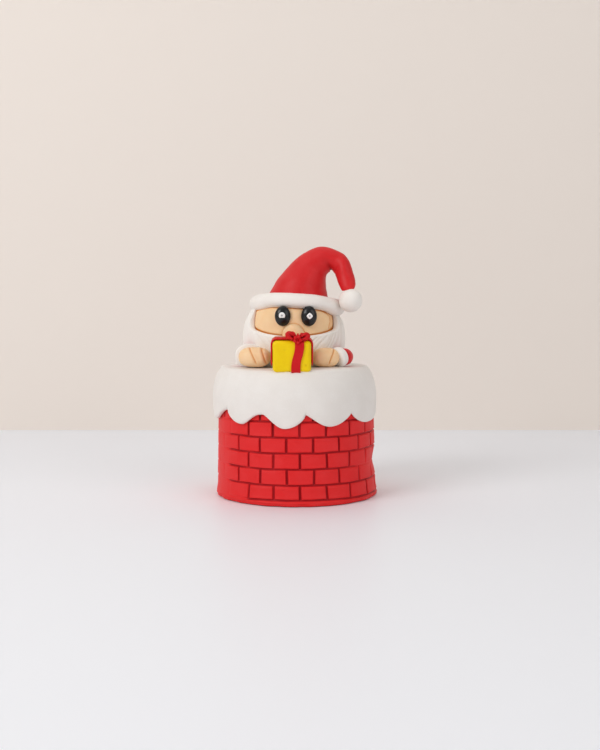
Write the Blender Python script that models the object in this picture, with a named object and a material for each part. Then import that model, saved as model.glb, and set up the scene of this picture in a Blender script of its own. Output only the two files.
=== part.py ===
"""Christmas cake: a round cake wrapped in red brick-patterned sugar paste, under a scalloped
snow cap, with a bearded figure in a bent hat who rests both hands on it beside a present.

Metres, +Z up. The origin is the centre of the cake's base, and the figure faces -Y.
A bearing is an angle round an upright axis, in degrees: 0 faces -Y and 90 faces +X.
"""

import math

import bmesh
import bpy
from mathutils import Euler, Matrix, Vector

MM = 0.001
GAP = 0.3 * MM
MERGE = 0.001 * MM

# The cake: a 5 inch sponge with filling and sugar paste round it, a little narrower at the top
WALL_RADIUS = 70.3 * MM
WALL_TAPER = 0.02
WALL_LEAN = -0.012
SHOULDER_HEIGHT = 98.0 * MM
CAKE_TOP_RADIUS = 60.0 * MM
CAKE_TOP = 108.8 * MM
DENT_BEARING = 92.0
DENT_HEIGHT = 31.6 * MM
DENT_DEPTH = 2.7 * MM
DENT_SPREAD = 22.0
DENT_RISE = 9.0 * MM

# Its bricks: grooves pressed in with a flat tool, half a brick apart from course to course
BRICKS_ROUND = 19
SEAM_BEARING = 173.3
BAND_HEIGHT = 5.3 * MM
COURSE_HEIGHT = 13.1 * MM
COURSES = 6
GROOVE_WIDTH = 1.5 * MM
GROOVE_DEPTH = 1.1 * MM

# The snow cap: rolled sugar paste draped over the cake, (radius, height) down its outside
CAP_CENTRE_X = -2.0 * MM
CAP_OUTSIDE = (
    (52.0, 113.8),
    (61.8, 113.0),
    (65.2, 111.5),
    (67.9, 107.8),
    (70.4, 101.5),
    (71.8, 94.5),
    (72.4, 87.0),
)
CAP_SKIRT_RADIUS = 72.4 * MM
CAP_TUCK = 1.9 * MM
CAP_TUCK_START = 80.0 * MM
CAP_TUCK_RANGE = 15.0 * MM
CAP_TOP = CAP_OUTSIDE[0][1] * MM
CAP_LIP = 2.2 * MM
CAP_LIP_ROUND = 0.3
CAP_OFF_WALL = GAP * 1.4
LOBE_STEPS = 6
# Each front lobe: the bearing of its first notch, that notch's height, its own lowest height
# (both in mm), how far along it the lowest point lies, and how steeply it falls and rises:
# below 1 is a full round side, and above 1 a hollow one
FRONT_LOBES = (
    (-52.3, 78.6, 67.6, 0.42, 0.8, 2.4),
    (-21.6, 76.6, 65.2, 0.5, 1.4, 0.62),
    (7.4, 76.8, 66.4, 0.5, 1.2, 0.85),
    (42.2, 76.4, 67.1, 0.36, 0.8, 0.8),
)
BACK_LOBES = 7
BACK_LOBES_START = 96.0
BACK_LOBE = (76.5, 65.4, 0.5, 0.8, 0.8)
LAST_LOBE = (76.5, 68.2, 0.3, 0.8, 2.2)

# The head: a ball of skin-coloured paste inside a beard that wraps all round it
HEAD_CENTRE = Vector((-2.5, 0.5, 144.0)) * MM
HEAD_SIZE = Vector((39.0, 40.3, 33.5)) * MM
HEAD_POWER = 3.0
HEAD_FOOT = CAP_TOP + GAP
HEAD_TOP = 173.2 * MM
BEARD_CENTRE = Vector((-2.5, 0.5, 137.0)) * MM
BEARD_SIZE = Vector((45.2, 44.0, 52.3)) * MM
BEARD_TOP = 166.0 * MM
FACE_HALF_ANGLE = 60.0
FACE_MIDDLE = 0.8
FACE_LOW = 140.6 * MM
FACE_CORNER_RISE = 7.0 * MM
FACE_CORNER_ROUND = 10.0 * MM
FACE_CORNER_POWER = 22
FACE_HIGH = 172.0 * MM
FACE_CUT_INSIDE = 30.0 * MM
FACE_CUT_OUTSIDE = 60.0 * MM

EYE_SIZE = Vector((6.75, 4.4, 8.5)) * MM
EYE_HEIGHT = 157.6 * MM
EYE_DEPTH = -39.6 * MM
EYE_X = {"left": -11.8 * MM, "right": 10.4 * MM}
GLINT_SIZE = Vector((2.4, 0.9, 2.3)) * MM
GLINT_PLACE = {
    "left": Vector((-12.4, -43.9, 158.0)) * MM,
    "right": Vector((11.0, -43.9, 157.7)) * MM,
}
NOSE_CENTRE = Vector((-2.8, -39.4, 142.0)) * MM
NOSE_SIZE = Vector((9.3, 7.6, 9.2)) * MM

# The hat: a white roll round the head and a tall cone that bends over to the right
BRIM_CENTRE = Vector((0.7, 0.0, 168.2)) * MM
BRIM_RADIUS = 35.0 * MM
ROLL_RADIUS = 7.4 * MM
BRIM_TILT = 2.7
# Both outlines of the cone from brim to tip, as (outer x, outer z, inner x, inner z) in mm
HAT_OUTLINE = (
    (-27.2, 173.7, 30.8, 173.7),
    (-24.0, 178.0, 27.0, 178.0),
    (-21.2, 183.0, 25.7, 183.0),
    (-15.8, 191.4, 25.6, 191.4),
    (1.0, 208.9, 27.6, 195.6),
    (19.4, 217.7, 30.6, 197.2),
    (36.2, 213.9, 32.9, 195.2),
    (44.6, 206.8, 33.9, 192.3),
    (49.5, 192.8, 35.4, 187.0),
    (50.7, 185.0, 37.9, 181.0),
    (49.3, 180.7, 39.0, 179.0),
)
HAT_STEPS = 2
HAT_SEGMENTS = 20
HAT_BEND_START = 0.35
HAT_REACH = -24.5 * MM
HAT_REACH_CURVE = 1.3
POMPOM_CENTRE = Vector((46.3, -26.0, 170.9)) * MM
POMPOM_RADIUS = 10.1 * MM

# Hands, cuffs and sleeves: (centre, half sizes) of each hand, then where its arm goes
HAND = {
    "left": (Vector((-35.6, -41.2, 123.3)) * MM, Vector((13.6, 8.4, 8.7)) * MM),
    "right": (Vector((24.6, -41.6, 122.7)) * MM, Vector((11.3, 8.2, 8.2)) * MM),
}
HAND_TURN = {"left": -16.0, "right": 18.0}
HAND_POWER = 2.7
HAND_GROOVES = {"left": (1.4, 7.4), "right": (-0.6,)}
FINGER_GROOVE_WIDTH = 1.6 * MM
FINGER_GROOVE_DEPTH = 1.0 * MM
FINGER_GROOVE_CLEAR = FINGER_GROOVE_WIDTH * 1.1
HAND_SEGMENTS = 18
HAND_RINGS = 9
CUFF = {
    "left": (Vector((-43.6, -32.6, 124.4)) * MM, 9.3 * MM),
    "right": (Vector((36.4, -35.4, 122.9)) * MM, 8.4 * MM),
}
CUFF_TURN = {"left": 95.0, "right": 45.0}
CUFF_WIDTH = 6.0 * MM
CUFF_ROUNDING = 1.7 * MM
SLEEVE_TURN = {"left": 45.0, "right": 150.0}
SLEEVE_LENGTH = {"left": 19.0 * MM, "right": 17.0 * MM}
SLEEVE_THINNER = 0.7 * MM
SLEEVE_RINGS = 8
SLEEVE_SEGMENTS = 18
SLEEVE_LAST_SHARE = 0.94

# The present: a soft block with a red ribbon over it, leaning forward on the cake's shoulder
PRESENT_PLACE = Vector((-3.9, -57.5, 112.2)) * MM
PRESENT_LEAN = 6.0
BOX_SIZE = Vector((31.8, 17.0, 26.3)) * MM
BOX_ROUNDING = 3.4 * MM
BAND_THICKNESS = 1.3 * MM
BAND_WIDTH = 12.6 * MM
BAND_TOP_EXTRA = 0.9 * MM
BAND_END = 5.5 * MM
BAND_BACK = 0.8 * MM
BAND_CORNER_STEPS = 3
BAND_CORNER_SHARE = 0.6
RIBBON_WIDTH = 7.1 * MM
RIBBON_THICKNESS = 1.2 * MM
RIBBON_TOP_X = 6.1 * MM
RIBBON_FOOT_X = 4.0 * MM
RIBBON_STEPS = 8
RIBBON_SWAY = 0.5 * MM
RIBBON_BELOW_TOP = 1.4 * MM
RIBBON_ABOVE_FOOT = 1.0 * MM
RIBBON_EASE = 1.1 * MM
LOOP_SIZE = Vector((5.3, 3.4, 4.0)) * MM
LOOP_PLACE = {
    "left": Vector((-0.4, -6.2, 30.3)) * MM,
    "right": Vector((9.9, -6.2, 29.5)) * MM,
}
LOOP_TURN = {"left": -24.0, "right": 14.0}
LOOP_DIMPLE = 0.45
LOOP_DIMPLE_SPREAD = 0.5
KNOT_PLACE = Vector((4.7, -9.6, 27.7)) * MM
KNOT_SIZE = Vector((3.9, 2.1, 3.4)) * MM
KNOT_PETALS = 5
KNOT_RUFFLE = 0.16


def at_bearing(bearing, radius, height, centre_x=0.0):
    angle = math.radians(bearing)
    return Vector((centre_x + radius * math.sin(angle), -radius * math.cos(angle), height))


def clear_scene():
    for existing in list(bpy.data.objects):
        bpy.data.objects.remove(existing, do_unlink=True)


def linear(channel):
    return channel / 12.92 if channel <= 0.04045 else ((channel + 0.055) / 1.055) ** 2.4


def paste(name, colour, roughness):
    """A Principled material in an sRGB hex colour. Sugar paste is never metallic."""
    material = bpy.data.materials.new(name)
    material.use_nodes = True
    shader = material.node_tree.nodes["Principled BSDF"]
    parts = [linear(int(colour[at : at + 2], 16) / 255) for at in (0, 2, 4)]
    shader.inputs["Base Color"].default_value = (*parts, 1.0)
    shader.inputs["Roughness"].default_value = roughness
    shader.inputs["Metallic"].default_value = 0.0
    material.diffuse_color = (*parts, 1.0)
    return material


def piece(name, bm, material, parent, location=(0, 0, 0), rotation=(0, 0, 0)):
    """Turns a bmesh into a named object under its parent, shaded smooth up to 40 degrees."""
    mesh = bpy.data.meshes.new(name)
    bm.to_mesh(mesh)
    bm.free()
    mesh.shade_smooth()
    mesh.set_sharp_from_angle(angle=math.radians(40))
    if material:
        mesh.materials.append(material)
    made = bpy.data.objects.new(name, mesh)
    made.location = location
    made.rotation_euler = rotation
    made.parent = parent
    bpy.context.scene.collection.objects.link(made)
    return made


def cutter(name, bm, parent, location=(0, 0, 0), rotation=(0, 0, 0)):
    """A helper that only takes material away, so it is left out of the model."""
    made = piece(name, bm, None, parent, location, rotation)
    made.hide_render = True
    made.display_type = "WIRE"
    return made


def cut_by(target, *cutters):
    for helper in cutters:
        boolean = target.modifiers.new(helper.name, "BOOLEAN")
        boolean.operation = "DIFFERENCE"
        boolean.object = helper


def wrapped_grid(columns, rings, place):
    """A closed tube of columns by rings points with a flat lid on each end.
    place(column, ring) gives each point."""
    bm = bmesh.new()
    bmesh.ops.create_grid(bm, x_segments=columns, y_segments=rings - 1, size=1.0)
    for index, vert in enumerate(bm.verts):
        ring, column = divmod(index, columns + 1)
        vert.co = place(column % columns, ring)
    bmesh.ops.remove_doubles(bm, verts=bm.verts, dist=MERGE)
    bmesh.ops.holes_fill(bm, edges=bm.edges, sides=0)
    bmesh.ops.recalc_face_normals(bm, faces=bm.faces)
    return bm


def superball(half_sizes, power=2.0, segments=24, rings=12):
    """A ball whose upright section is a superellipse: power 2 is round, and more is squarer."""
    bm = bmesh.new()
    bmesh.ops.create_uvsphere(bm, u_segments=segments, v_segments=rings, radius=1.0)
    for vert in bm.verts:
        across = math.hypot(vert.co.x, vert.co.y)
        vert.co /= (across**power + abs(vert.co.z) ** power) ** (1 / power)
    bmesh.ops.scale(bm, vec=half_sizes, verts=bm.verts)
    return bm


def grown(half_sizes):
    return Vector(half_sizes) + Vector((GAP, GAP, GAP))


def slice_flat(bm, height, keep_above):
    """Cuts a closed mesh level at a height and closes it with a flat face."""
    found = bmesh.ops.bisect_plane(
        bm,
        geom=bm.verts[:] + bm.edges[:] + bm.faces[:],
        plane_co=(0, 0, height),
        plane_no=(0, 0, 1),
        clear_inner=keep_above,
        clear_outer=not keep_above,
    )
    rim = [item for item in found["geom_cut"] if isinstance(item, bmesh.types.BMEdge)]
    bmesh.ops.contextual_create(bm, geom=rim)


def catmull(points, place):
    """A point on the smooth curve through all the points, where place counts along them."""
    first = min(int(place), len(points) - 2)
    part = place - first
    at = [points[min(max(first + step, 0), len(points) - 1)] for step in (-1, 0, 1, 2)]
    weights = (
        (-part + 2 * part**2 - part**3) / 2,
        (2 - 5 * part**2 + 3 * part**3) / 2,
        (part + 4 * part**2 - 3 * part**3) / 2,
        (-(part**2) + part**3) / 2,
    )
    return [sum(w * row[i] for w, row in zip(weights, at)) for i in range(len(at[0]))]


def wall_radius(bearing, height):
    off = (bearing - DENT_BEARING + 180) % 360 - 180
    dent = math.exp(-((off / DENT_SPREAD) ** 2) - ((height - DENT_HEIGHT) / DENT_RISE) ** 2)
    return WALL_RADIUS - WALL_TAPER * height - DENT_DEPTH * dent


def wall_point(bearing, height, inward=0.0):
    radius = wall_radius(bearing, height) - inward
    return at_bearing(bearing, radius, height, WALL_LEAN * height)


def wall_rings():
    """The wall's rings from the base up, as (height, kind, course)."""
    half = GROOVE_WIDTH / 2
    rings = [(0.0, "plain", -1)]
    for course in range(COURSES):
        line = BAND_HEIGHT + course * COURSE_HEIGHT
        rings.append((line - half, "brick edge", course - 1))
        rings.append((line, "bed joint", course))
        rings.append((line + half, "brick edge", course))
    rings.append((SHOULDER_HEIGHT, "plain", COURSES))
    rings.append((CAKE_TOP, "top", COURSES))
    return rings


def make_brick_wall(parent, material):
    """Three points at each joint of a course, and one where its bricks run through."""
    rings = wall_rings()
    half_bricks = BRICKS_ROUND * 2
    half_brick = 360 / half_bricks
    groove = math.degrees(GROOVE_WIDTH / 2 / WALL_RADIUS)

    def place(column, ring):
        height, kind, course = rings[ring]
        joint, side = divmod(column, 3)
        bearing = SEAM_BEARING + joint * half_brick
        if kind == "top":
            return at_bearing(bearing, CAKE_TOP_RADIUS, height, WALL_LEAN * height)
        grooved = kind == "brick edge" and course >= 0 and (joint == 0 or joint % 2 == course % 2)
        if grooved:
            bearing += (side - 1) * groove
        pressed = kind == "bed joint" or (grooved and side == 1)
        return wall_point(bearing, height, GROOVE_DEPTH if pressed else 0.0)

    bm = wrapped_grid(half_bricks * 3, len(rings), place)
    return piece("brick_wall", bm, material, parent)


def cap_lobes():
    """All the lobes in turn from the front left, with the back ones evenly spaced."""
    lobes = list(FRONT_LOBES)
    width = (360 + FRONT_LOBES[0][0] - BACK_LOBES_START) / BACK_LOBES
    for index in range(BACK_LOBES):
        lobe = BACK_LOBE if index < BACK_LOBES - 1 else LAST_LOBE
        lobes.append((BACK_LOBES_START + index * width, *lobe))
    return lobes


def cap_edge(lobes, column):
    """The bearing and height of the scalloped edge at one column of the cap."""
    number, step = divmod(column, LOBE_STEPS)
    start, notch, low, lowest_at, falling, rising = lobes[number]
    after = lobes[(number + 1) % len(lobes)]
    width = (after[0] - start) % 360
    part = step / LOBE_STEPS
    turned = part ** (math.log(0.5) / math.log(lowest_at))
    top = (notch + (after[1] - notch) * part) * MM
    drop = math.sin(math.pi * turned) ** (falling if turned < 0.5 else rising)
    return start + width * part, top - (top - low * MM) * drop


def cap_radius(height):
    """The skirt's outside below the shoulder, tucked in a little towards its edge."""
    tucked = max(0.0, CAP_TUCK_START - height) / CAP_TUCK_RANGE
    return CAP_SKIRT_RADIUS - CAP_TUCK * min(tucked, 1.0) ** 2


def make_snow_cap(parent, material):
    lobes = cap_lobes()
    columns = len(lobes) * LOBE_STEPS

    def outside(bearing, radius, height):
        return at_bearing(bearing, radius, height, CAP_CENTRE_X)

    def skirt(column, above_edge, inward):
        """A point by the scalloped edge, inward as a share of the paste's thickness."""
        bearing, edge = cap_edge(lobes, column)
        height = edge + above_edge
        outer = outside(bearing, cap_radius(height), height)
        return outer.lerp(wall_point(bearing, height, -CAP_OFF_WALL), inward)

    def halfway(column):
        bearing, edge = cap_edge(lobes, column)
        height = (edge + CAP_LIP + CAP_OUTSIDE[-1][1] * MM) / 2
        return outside(bearing, cap_radius(height), height)

    def inside(column, height, top=False):
        bearing, _ = cap_edge(lobes, column)
        if top:
            lift = Vector((0, 0, CAP_OFF_WALL))
            return at_bearing(bearing, CAKE_TOP_RADIUS, height, WALL_LEAN * height) + lift
        return wall_point(bearing, height, -CAP_OFF_WALL)

    upper = len(CAP_OUTSIDE)
    lower = (
        halfway,
        lambda column: skirt(column, CAP_LIP, 0.0),
        lambda column: skirt(column, CAP_LIP * CAP_LIP_ROUND, 0.22),
        lambda column: skirt(column, 0.0, 0.6),
        lambda column: skirt(column, CAP_LIP * CAP_LIP_ROUND, 1.0),
        lambda column: inside(column, SHOULDER_HEIGHT),
        lambda column: inside(column, CAKE_TOP, top=True),
    )

    def place(column, ring):
        if ring < upper:
            radius, height = CAP_OUTSIDE[ring]
            return outside(cap_edge(lobes, column)[0], radius * MM, height * MM)
        return lower[ring - upper](column)

    bm = wrapped_grid(columns, upper + len(lower), place)
    return piece("snow_cap", bm, material, parent)


def snow_clearance(parent):
    """The top of the snow with its gap, for what is pressed down onto its shoulder."""
    outline = [(radius * MM, height * MM + GAP) for radius, height in CAP_OUTSIDE]
    columns = 72

    def place(column, ring):
        radius, height = outline[ring]
        return at_bearing(360 * column / columns, radius + GAP, height, CAP_CENTRE_X)

    return cutter("snow_clearance", wrapped_grid(columns, len(outline), place), parent)


def brim_mesh(roll_radius):
    """A full turn of a circle round the hat's axis."""
    bm = bmesh.new()
    made = bmesh.ops.create_circle(bm, segments=10, radius=roll_radius)
    turn = Matrix.Translation((BRIM_RADIUS, 0, 0)) @ Matrix.Rotation(math.pi / 2, 4, "X")
    bmesh.ops.transform(bm, matrix=turn, verts=made["verts"])
    bmesh.ops.spin(
        bm,
        geom=bm.verts[:] + bm.edges[:],
        cent=(0, 0, 0),
        axis=(0, 0, 1),
        angle=math.tau,
        steps=32,
        use_merge=True,
    )
    bmesh.ops.remove_doubles(bm, verts=bm.verts, dist=MERGE)
    bmesh.ops.recalc_face_normals(bm, faces=bm.faces)
    return bm


def face_opening(parent):
    """A wedge of rays from the head's axis, through the outline of the face in the beard."""
    across, up = 14, 3

    def place(column, ring, radius):
        side = math.sin(math.pi * (column / across - 0.5))
        low = FACE_LOW + FACE_CORNER_RISE * side**2 + FACE_CORNER_ROUND * side**FACE_CORNER_POWER
        height = low + (FACE_HIGH - low) * ring / up
        return at_bearing(FACE_MIDDLE + FACE_HALF_ANGLE * side, radius, height)

    bm = bmesh.new()
    bmesh.ops.create_grid(bm, x_segments=across, y_segments=up, size=1.0)
    corners = list(bm.verts)
    outer = {}
    for index, vert in enumerate(corners):
        ring, column = divmod(index, across + 1)
        vert.co = place(column, ring, FACE_CUT_INSIDE)
        outer[vert.co.copy().freeze()] = place(column, ring, FACE_CUT_OUTSIDE)
    made = bmesh.ops.extrude_face_region(bm, geom=bm.faces[:], use_keep_orig=True)
    for item in made["geom"]:
        if isinstance(item, bmesh.types.BMVert):
            item.co = outer[item.co.copy().freeze()]
    bmesh.ops.recalc_face_normals(bm, faces=bm.faces)
    place_at = (HEAD_CENTRE.x, HEAD_CENTRE.y, 0)
    return cutter("face_opening", bm, parent, place_at)


def make_head(parent, skin, white, black):
    """The head, nose, eyes and beard, and the brim that presses into them."""
    tilt = Euler((0, math.radians(BRIM_TILT), 0))
    piece("hat_brim", brim_mesh(ROLL_RADIUS), white, parent, BRIM_CENTRE, tilt)
    clear_brim = cutter(
        "brim_clearance", brim_mesh(ROLL_RADIUS + GAP), parent, BRIM_CENTRE, tilt
    )

    head_mesh = superball(HEAD_SIZE, HEAD_POWER, 28, 14)
    slice_flat(head_mesh, HEAD_FOOT - HEAD_CENTRE.z, keep_above=True)
    slice_flat(head_mesh, HEAD_TOP - HEAD_CENTRE.z, keep_above=False)
    head = piece("head", head_mesh, skin, parent, HEAD_CENTRE)
    cut_by(head, clear_brim)

    clear_head_mesh = superball(grown(HEAD_SIZE), HEAD_POWER, 28, 14)
    clear_head = cutter("head_clearance", clear_head_mesh, parent, HEAD_CENTRE)
    nose = piece("nose", superball(NOSE_SIZE, 2.0, 20, 12), skin, parent, NOSE_CENTRE)
    cut_by(nose, clear_head)
    clear_nose_mesh = superball(grown(NOSE_SIZE), 2.0, 20, 12)
    clear_nose = cutter("nose_clearance", clear_nose_mesh, parent, NOSE_CENTRE)

    beard_mesh = superball(BEARD_SIZE, 2.0, 36, 18)
    slice_flat(beard_mesh, HEAD_FOOT - BEARD_CENTRE.z, keep_above=True)
    slice_flat(beard_mesh, BEARD_TOP - BEARD_CENTRE.z, keep_above=False)
    beard = piece("beard", beard_mesh, white, parent, BEARD_CENTRE)
    cut_by(beard, clear_head, clear_brim, face_opening(parent), clear_nose)

    for side, x in EYE_X.items():
        centre = Vector((x, EYE_DEPTH, EYE_HEIGHT))
        eye_mesh = superball(EYE_SIZE, 2.0, 18, 10)
        eye = piece(f"eye_{side}", eye_mesh, black, parent, centre)
        cut_by(eye, clear_head, clear_brim)
        clear_eye = cutter(
            f"eye_clearance_{side}", superball(grown(EYE_SIZE), 2.0, 18, 10), parent, centre
        )
        glint_mesh = superball(GLINT_SIZE, 2.0, 10, 6)
        glint = piece(f"eye_glint_{side}", glint_mesh, white, parent, GLINT_PLACE[side])
        cut_by(glint, clear_eye)


def make_hat(parent, red, white):
    """The cone is a row of round sections between its two outlines, ending on the pompom."""
    count = (len(HAT_OUTLINE) - 1) * HAT_STEPS + 1

    def place(column, ring):
        along = ring / HAT_STEPS
        outer_x, outer_z, inner_x, inner_z = catmull(HAT_OUTLINE, along)
        outer = Vector((outer_x, 0, outer_z)) * MM
        inner = Vector((inner_x, 0, inner_z)) * MM
        bent = max(0.0, along / (len(HAT_OUTLINE) - 1) - HAT_BEND_START)
        forward = HAT_REACH * (bent / (1 - HAT_BEND_START)) ** HAT_REACH_CURVE
        angle = math.tau * column / HAT_SEGMENTS
        half = (outer - inner) / 2
        depth = Vector((0, half.length * math.sin(angle) + forward, 0))
        return (outer + inner) / 2 + half * math.cos(angle) + depth

    hat = piece("hat", wrapped_grid(HAT_SEGMENTS, count, place), red, parent)
    ball_mesh = superball(Vector((1, 1, 1)) * POMPOM_RADIUS, 2.0, 20, 12)
    piece("pompom", ball_mesh, white, parent, POMPOM_CENTRE)
    clear_ball = superball(Vector((1, 1, 1)) * (POMPOM_RADIUS + GAP), 2.0, 20, 12)
    cut_by(hat, cutter("pompom_clearance", clear_ball, parent, POMPOM_CENTRE))


def hand_mesh(half_sizes, grooves, extra=0.0):
    """A soft fist lying along X, with finger lines pressed in across its front and top."""
    half = FINGER_GROOVE_WIDTH / 2
    shares = [(step + 0.35) / (HAND_RINGS - 0.3) for step in range(HAND_RINGS)]
    across = [-math.cos(math.pi * share) * half_sizes.x for share in shares]
    lines = [line * MM for line in grooves]
    rings = [x for x in across if all(abs(x - line) > FINGER_GROOVE_CLEAR for line in lines)]
    for line in lines:
        rings += [line - half, line, line + half]
    rings.sort()

    def place(column, ring):
        x = rings[ring]
        angle = math.tau * column / HAND_SEGMENTS
        share = max(0.0, 1 - abs(x / half_sizes.x) ** HAND_POWER) ** (1 / HAND_POWER)
        pressed = FINGER_GROOVE_DEPTH if x in lines and math.cos(angle) < 0.6 else 0.0
        y = (half_sizes.y * share - pressed + extra) * math.cos(angle)
        z = (half_sizes.z * share - pressed + extra) * math.sin(angle)
        return Vector((x * (1 + extra / half_sizes.x), y, z))

    return wrapped_grid(HAND_SEGMENTS, len(rings), place)


def cuff_mesh(radius, width):
    """A short round roll along X."""
    bm = bmesh.new()
    made = bmesh.ops.create_cone(
        bm, cap_ends=True, segments=22, radius1=radius, radius2=radius, depth=width
    )
    bmesh.ops.rotate(
        bm, cent=(0, 0, 0), matrix=Matrix.Rotation(math.pi / 2, 3, "Y"), verts=made["verts"]
    )
    rims = [edge for edge in bm.edges if abs(edge.verts[0].co.x - edge.verts[1].co.x) < MERGE]
    bmesh.ops.bevel(
        bm, geom=rims, offset=CUFF_ROUNDING, segments=2, profile=0.5, affect="EDGES", material=-1
    )
    return bm


def sleeve_mesh(radius, length, first_turn, last_turn):
    """A plump stub from the cuff's back face that bends as it goes and has a round end."""
    centre = Vector((0, 0, 0))
    sections = []
    for ring in range(SLEEVE_RINGS):
        share = math.sin(ring / (SLEEVE_RINGS - 1) * math.pi / 2 * SLEEVE_LAST_SHARE)
        turn = math.radians(first_turn + (last_turn - first_turn) * share)
        along = Vector((math.cos(turn), math.sin(turn), 0))
        if sections:
            centre = centre + along * length * (share - sections[-1][0])
        sections.append((share, centre, Vector((-along.y, along.x, 0))))

    def place(column, ring):
        share, middle, sideways = sections[ring]
        around = radius * math.sqrt(max(0.0, 1 - share**4))
        angle = math.tau * column / SLEEVE_SEGMENTS
        across = sideways * around * math.cos(angle)
        return middle + across + Vector((0, 0, around * math.sin(angle)))

    return wrapped_grid(SLEEVE_SEGMENTS, SLEEVE_RINGS, place)


def make_arm(side, parent, skin, white, red, clear_beard):
    centre, half_sizes = HAND[side]
    turn = Euler((0, 0, math.radians(HAND_TURN[side])))
    grooves = HAND_GROOVES[side]
    hand = piece(f"hand_{side}", hand_mesh(half_sizes, grooves), skin, parent, centre, turn)
    clear_hand = cutter(
        f"hand_clearance_{side}", hand_mesh(half_sizes, (), GAP), parent, centre, turn
    )
    cuff_centre, radius = CUFF[side]
    cuff_turn = Euler((0, 0, math.radians(CUFF_TURN[side])))
    cuff = piece(
        f"cuff_{side}", cuff_mesh(radius, CUFF_WIDTH), white, parent, cuff_centre, cuff_turn
    )
    outward = Matrix.Rotation(cuff_turn.z, 3, "Z") @ Vector((1, 0, 0))
    sleeve_start = cuff_centre + outward * (CUFF_WIDTH / 2 + GAP)
    sleeve = piece(
        f"sleeve_{side}",
        sleeve_mesh(
            radius - SLEEVE_THINNER, SLEEVE_LENGTH[side], CUFF_TURN[side], SLEEVE_TURN[side]
        ),
        red,
        parent,
        sleeve_start,
    )
    cut_by(hand, clear_beard)
    cut_by(cuff, clear_hand, clear_beard)
    cut_by(sleeve, clear_hand, clear_beard)


def box_band_mesh():
    """The ribbon over the block: down both sides and across the top, thicker on top."""
    bm = bmesh.new()
    half = BOX_SIZE.x / 2 + GAP
    top = BOX_SIZE.z + GAP
    corner = BOX_ROUNDING
    inner = [(-half, BAND_END)]
    for step in range(BAND_CORNER_STEPS + 1):
        angle = math.pi / 2 * step / BAND_CORNER_STEPS
        x = -half + corner - corner * math.cos(angle)
        inner.append((x, top - corner + corner * math.sin(angle)))
    inner += [(-x, z) for x, z in reversed(inner)]
    middle = len(inner) / 2 - 0.5
    for index, (x, z) in enumerate(inner):
        out = Vector((x, 0, 0)).normalized() * BAND_THICKNESS
        raised = 0.0
        if z > top - corner * BAND_CORNER_SHARE:
            raised = BAND_THICKNESS + BAND_TOP_EXTRA * (index < middle)
            out *= BAND_CORNER_SHARE
        bm.verts.new((x, 0, z))
        bm.verts.new((x + out.x, 0, z + raised))
    bm.verts.ensure_lookup_table()
    for index in range(len(inner) - 1):
        a, b, c, d = (bm.verts[2 * index + step] for step in (0, 1, 3, 2))
        bm.faces.new((a, b, c, d))
    made = bmesh.ops.extrude_face_region(bm, geom=bm.faces[:], use_keep_orig=True)
    moved = [item for item in made["geom"] if isinstance(item, bmesh.types.BMVert)]
    bmesh.ops.translate(bm, vec=(0, BAND_WIDTH, 0), verts=moved)
    bmesh.ops.translate(bm, vec=(0, BAND_BACK - BAND_WIDTH / 2, 0), verts=bm.verts)
    bmesh.ops.recalc_face_normals(bm, faces=bm.faces)
    return bm


def front_ribbon_mesh():
    """A flat strip down the front of the block, drawn a little to the side at its foot."""
    top = BOX_SIZE.z - RIBBON_BELOW_TOP

    def place(column, ring):
        share = ring / (RIBBON_STEPS - 1)
        sway = RIBBON_SWAY * math.sin(math.tau * share)
        x = RIBBON_TOP_X + (RIBBON_FOOT_X - RIBBON_TOP_X) * share + sway
        z = top + (RIBBON_ABOVE_FOOT - top) * share
        side = 1 if column in (1, 2) else -1
        back = 0 if column in (0, 1) else 1
        y = -BOX_SIZE.y / 2 - GAP - back * RIBBON_THICKNESS
        ease = (BOX_ROUNDING - min(z, BOX_SIZE.z - z)) / BOX_ROUNDING
        y += RIBBON_EASE * max(0.0, ease) ** 2
        return Vector((x + side * RIBBON_WIDTH / 2, y, z))

    return wrapped_grid(4, RIBBON_STEPS, place)


def bow_loop_mesh(extra=0.0):
    """A pinched loop lying along X, hollowed in front."""
    bm = superball(Vector((1, 1, 1)), 2.2, 16, 8)
    for vert in bm.verts:
        across = math.hypot(vert.co.x, vert.co.y)
        if vert.co.z > 0:
            vert.co.z *= 1 - LOOP_DIMPLE * math.exp(-((across / LOOP_DIMPLE_SPREAD) ** 2))
    upright = Matrix.Rotation(math.pi / 2, 3, "X")
    bmesh.ops.rotate(bm, cent=(0, 0, 0), matrix=upright, verts=bm.verts)
    bmesh.ops.scale(bm, vec=LOOP_SIZE + Vector((extra, extra, extra)), verts=bm.verts)
    return bm


def bow_knot_mesh(extra=0.0):
    """A gathered rosette that faces forward."""
    bm = superball(Vector((1, 1, 1)), 2.4, 20, 8)
    for vert in bm.verts:
        angle = math.atan2(vert.co.y, vert.co.x)
        ruffle = 1 + KNOT_RUFFLE * math.cos(KNOT_PETALS * angle)
        vert.co.x *= ruffle
        vert.co.y *= ruffle
    upright = Matrix.Rotation(math.pi / 2, 3, "X")
    bmesh.ops.rotate(bm, cent=(0, 0, 0), matrix=upright, verts=bm.verts)
    bmesh.ops.scale(bm, vec=KNOT_SIZE + Vector((extra, extra, extra)), verts=bm.verts)
    return bm


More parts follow.
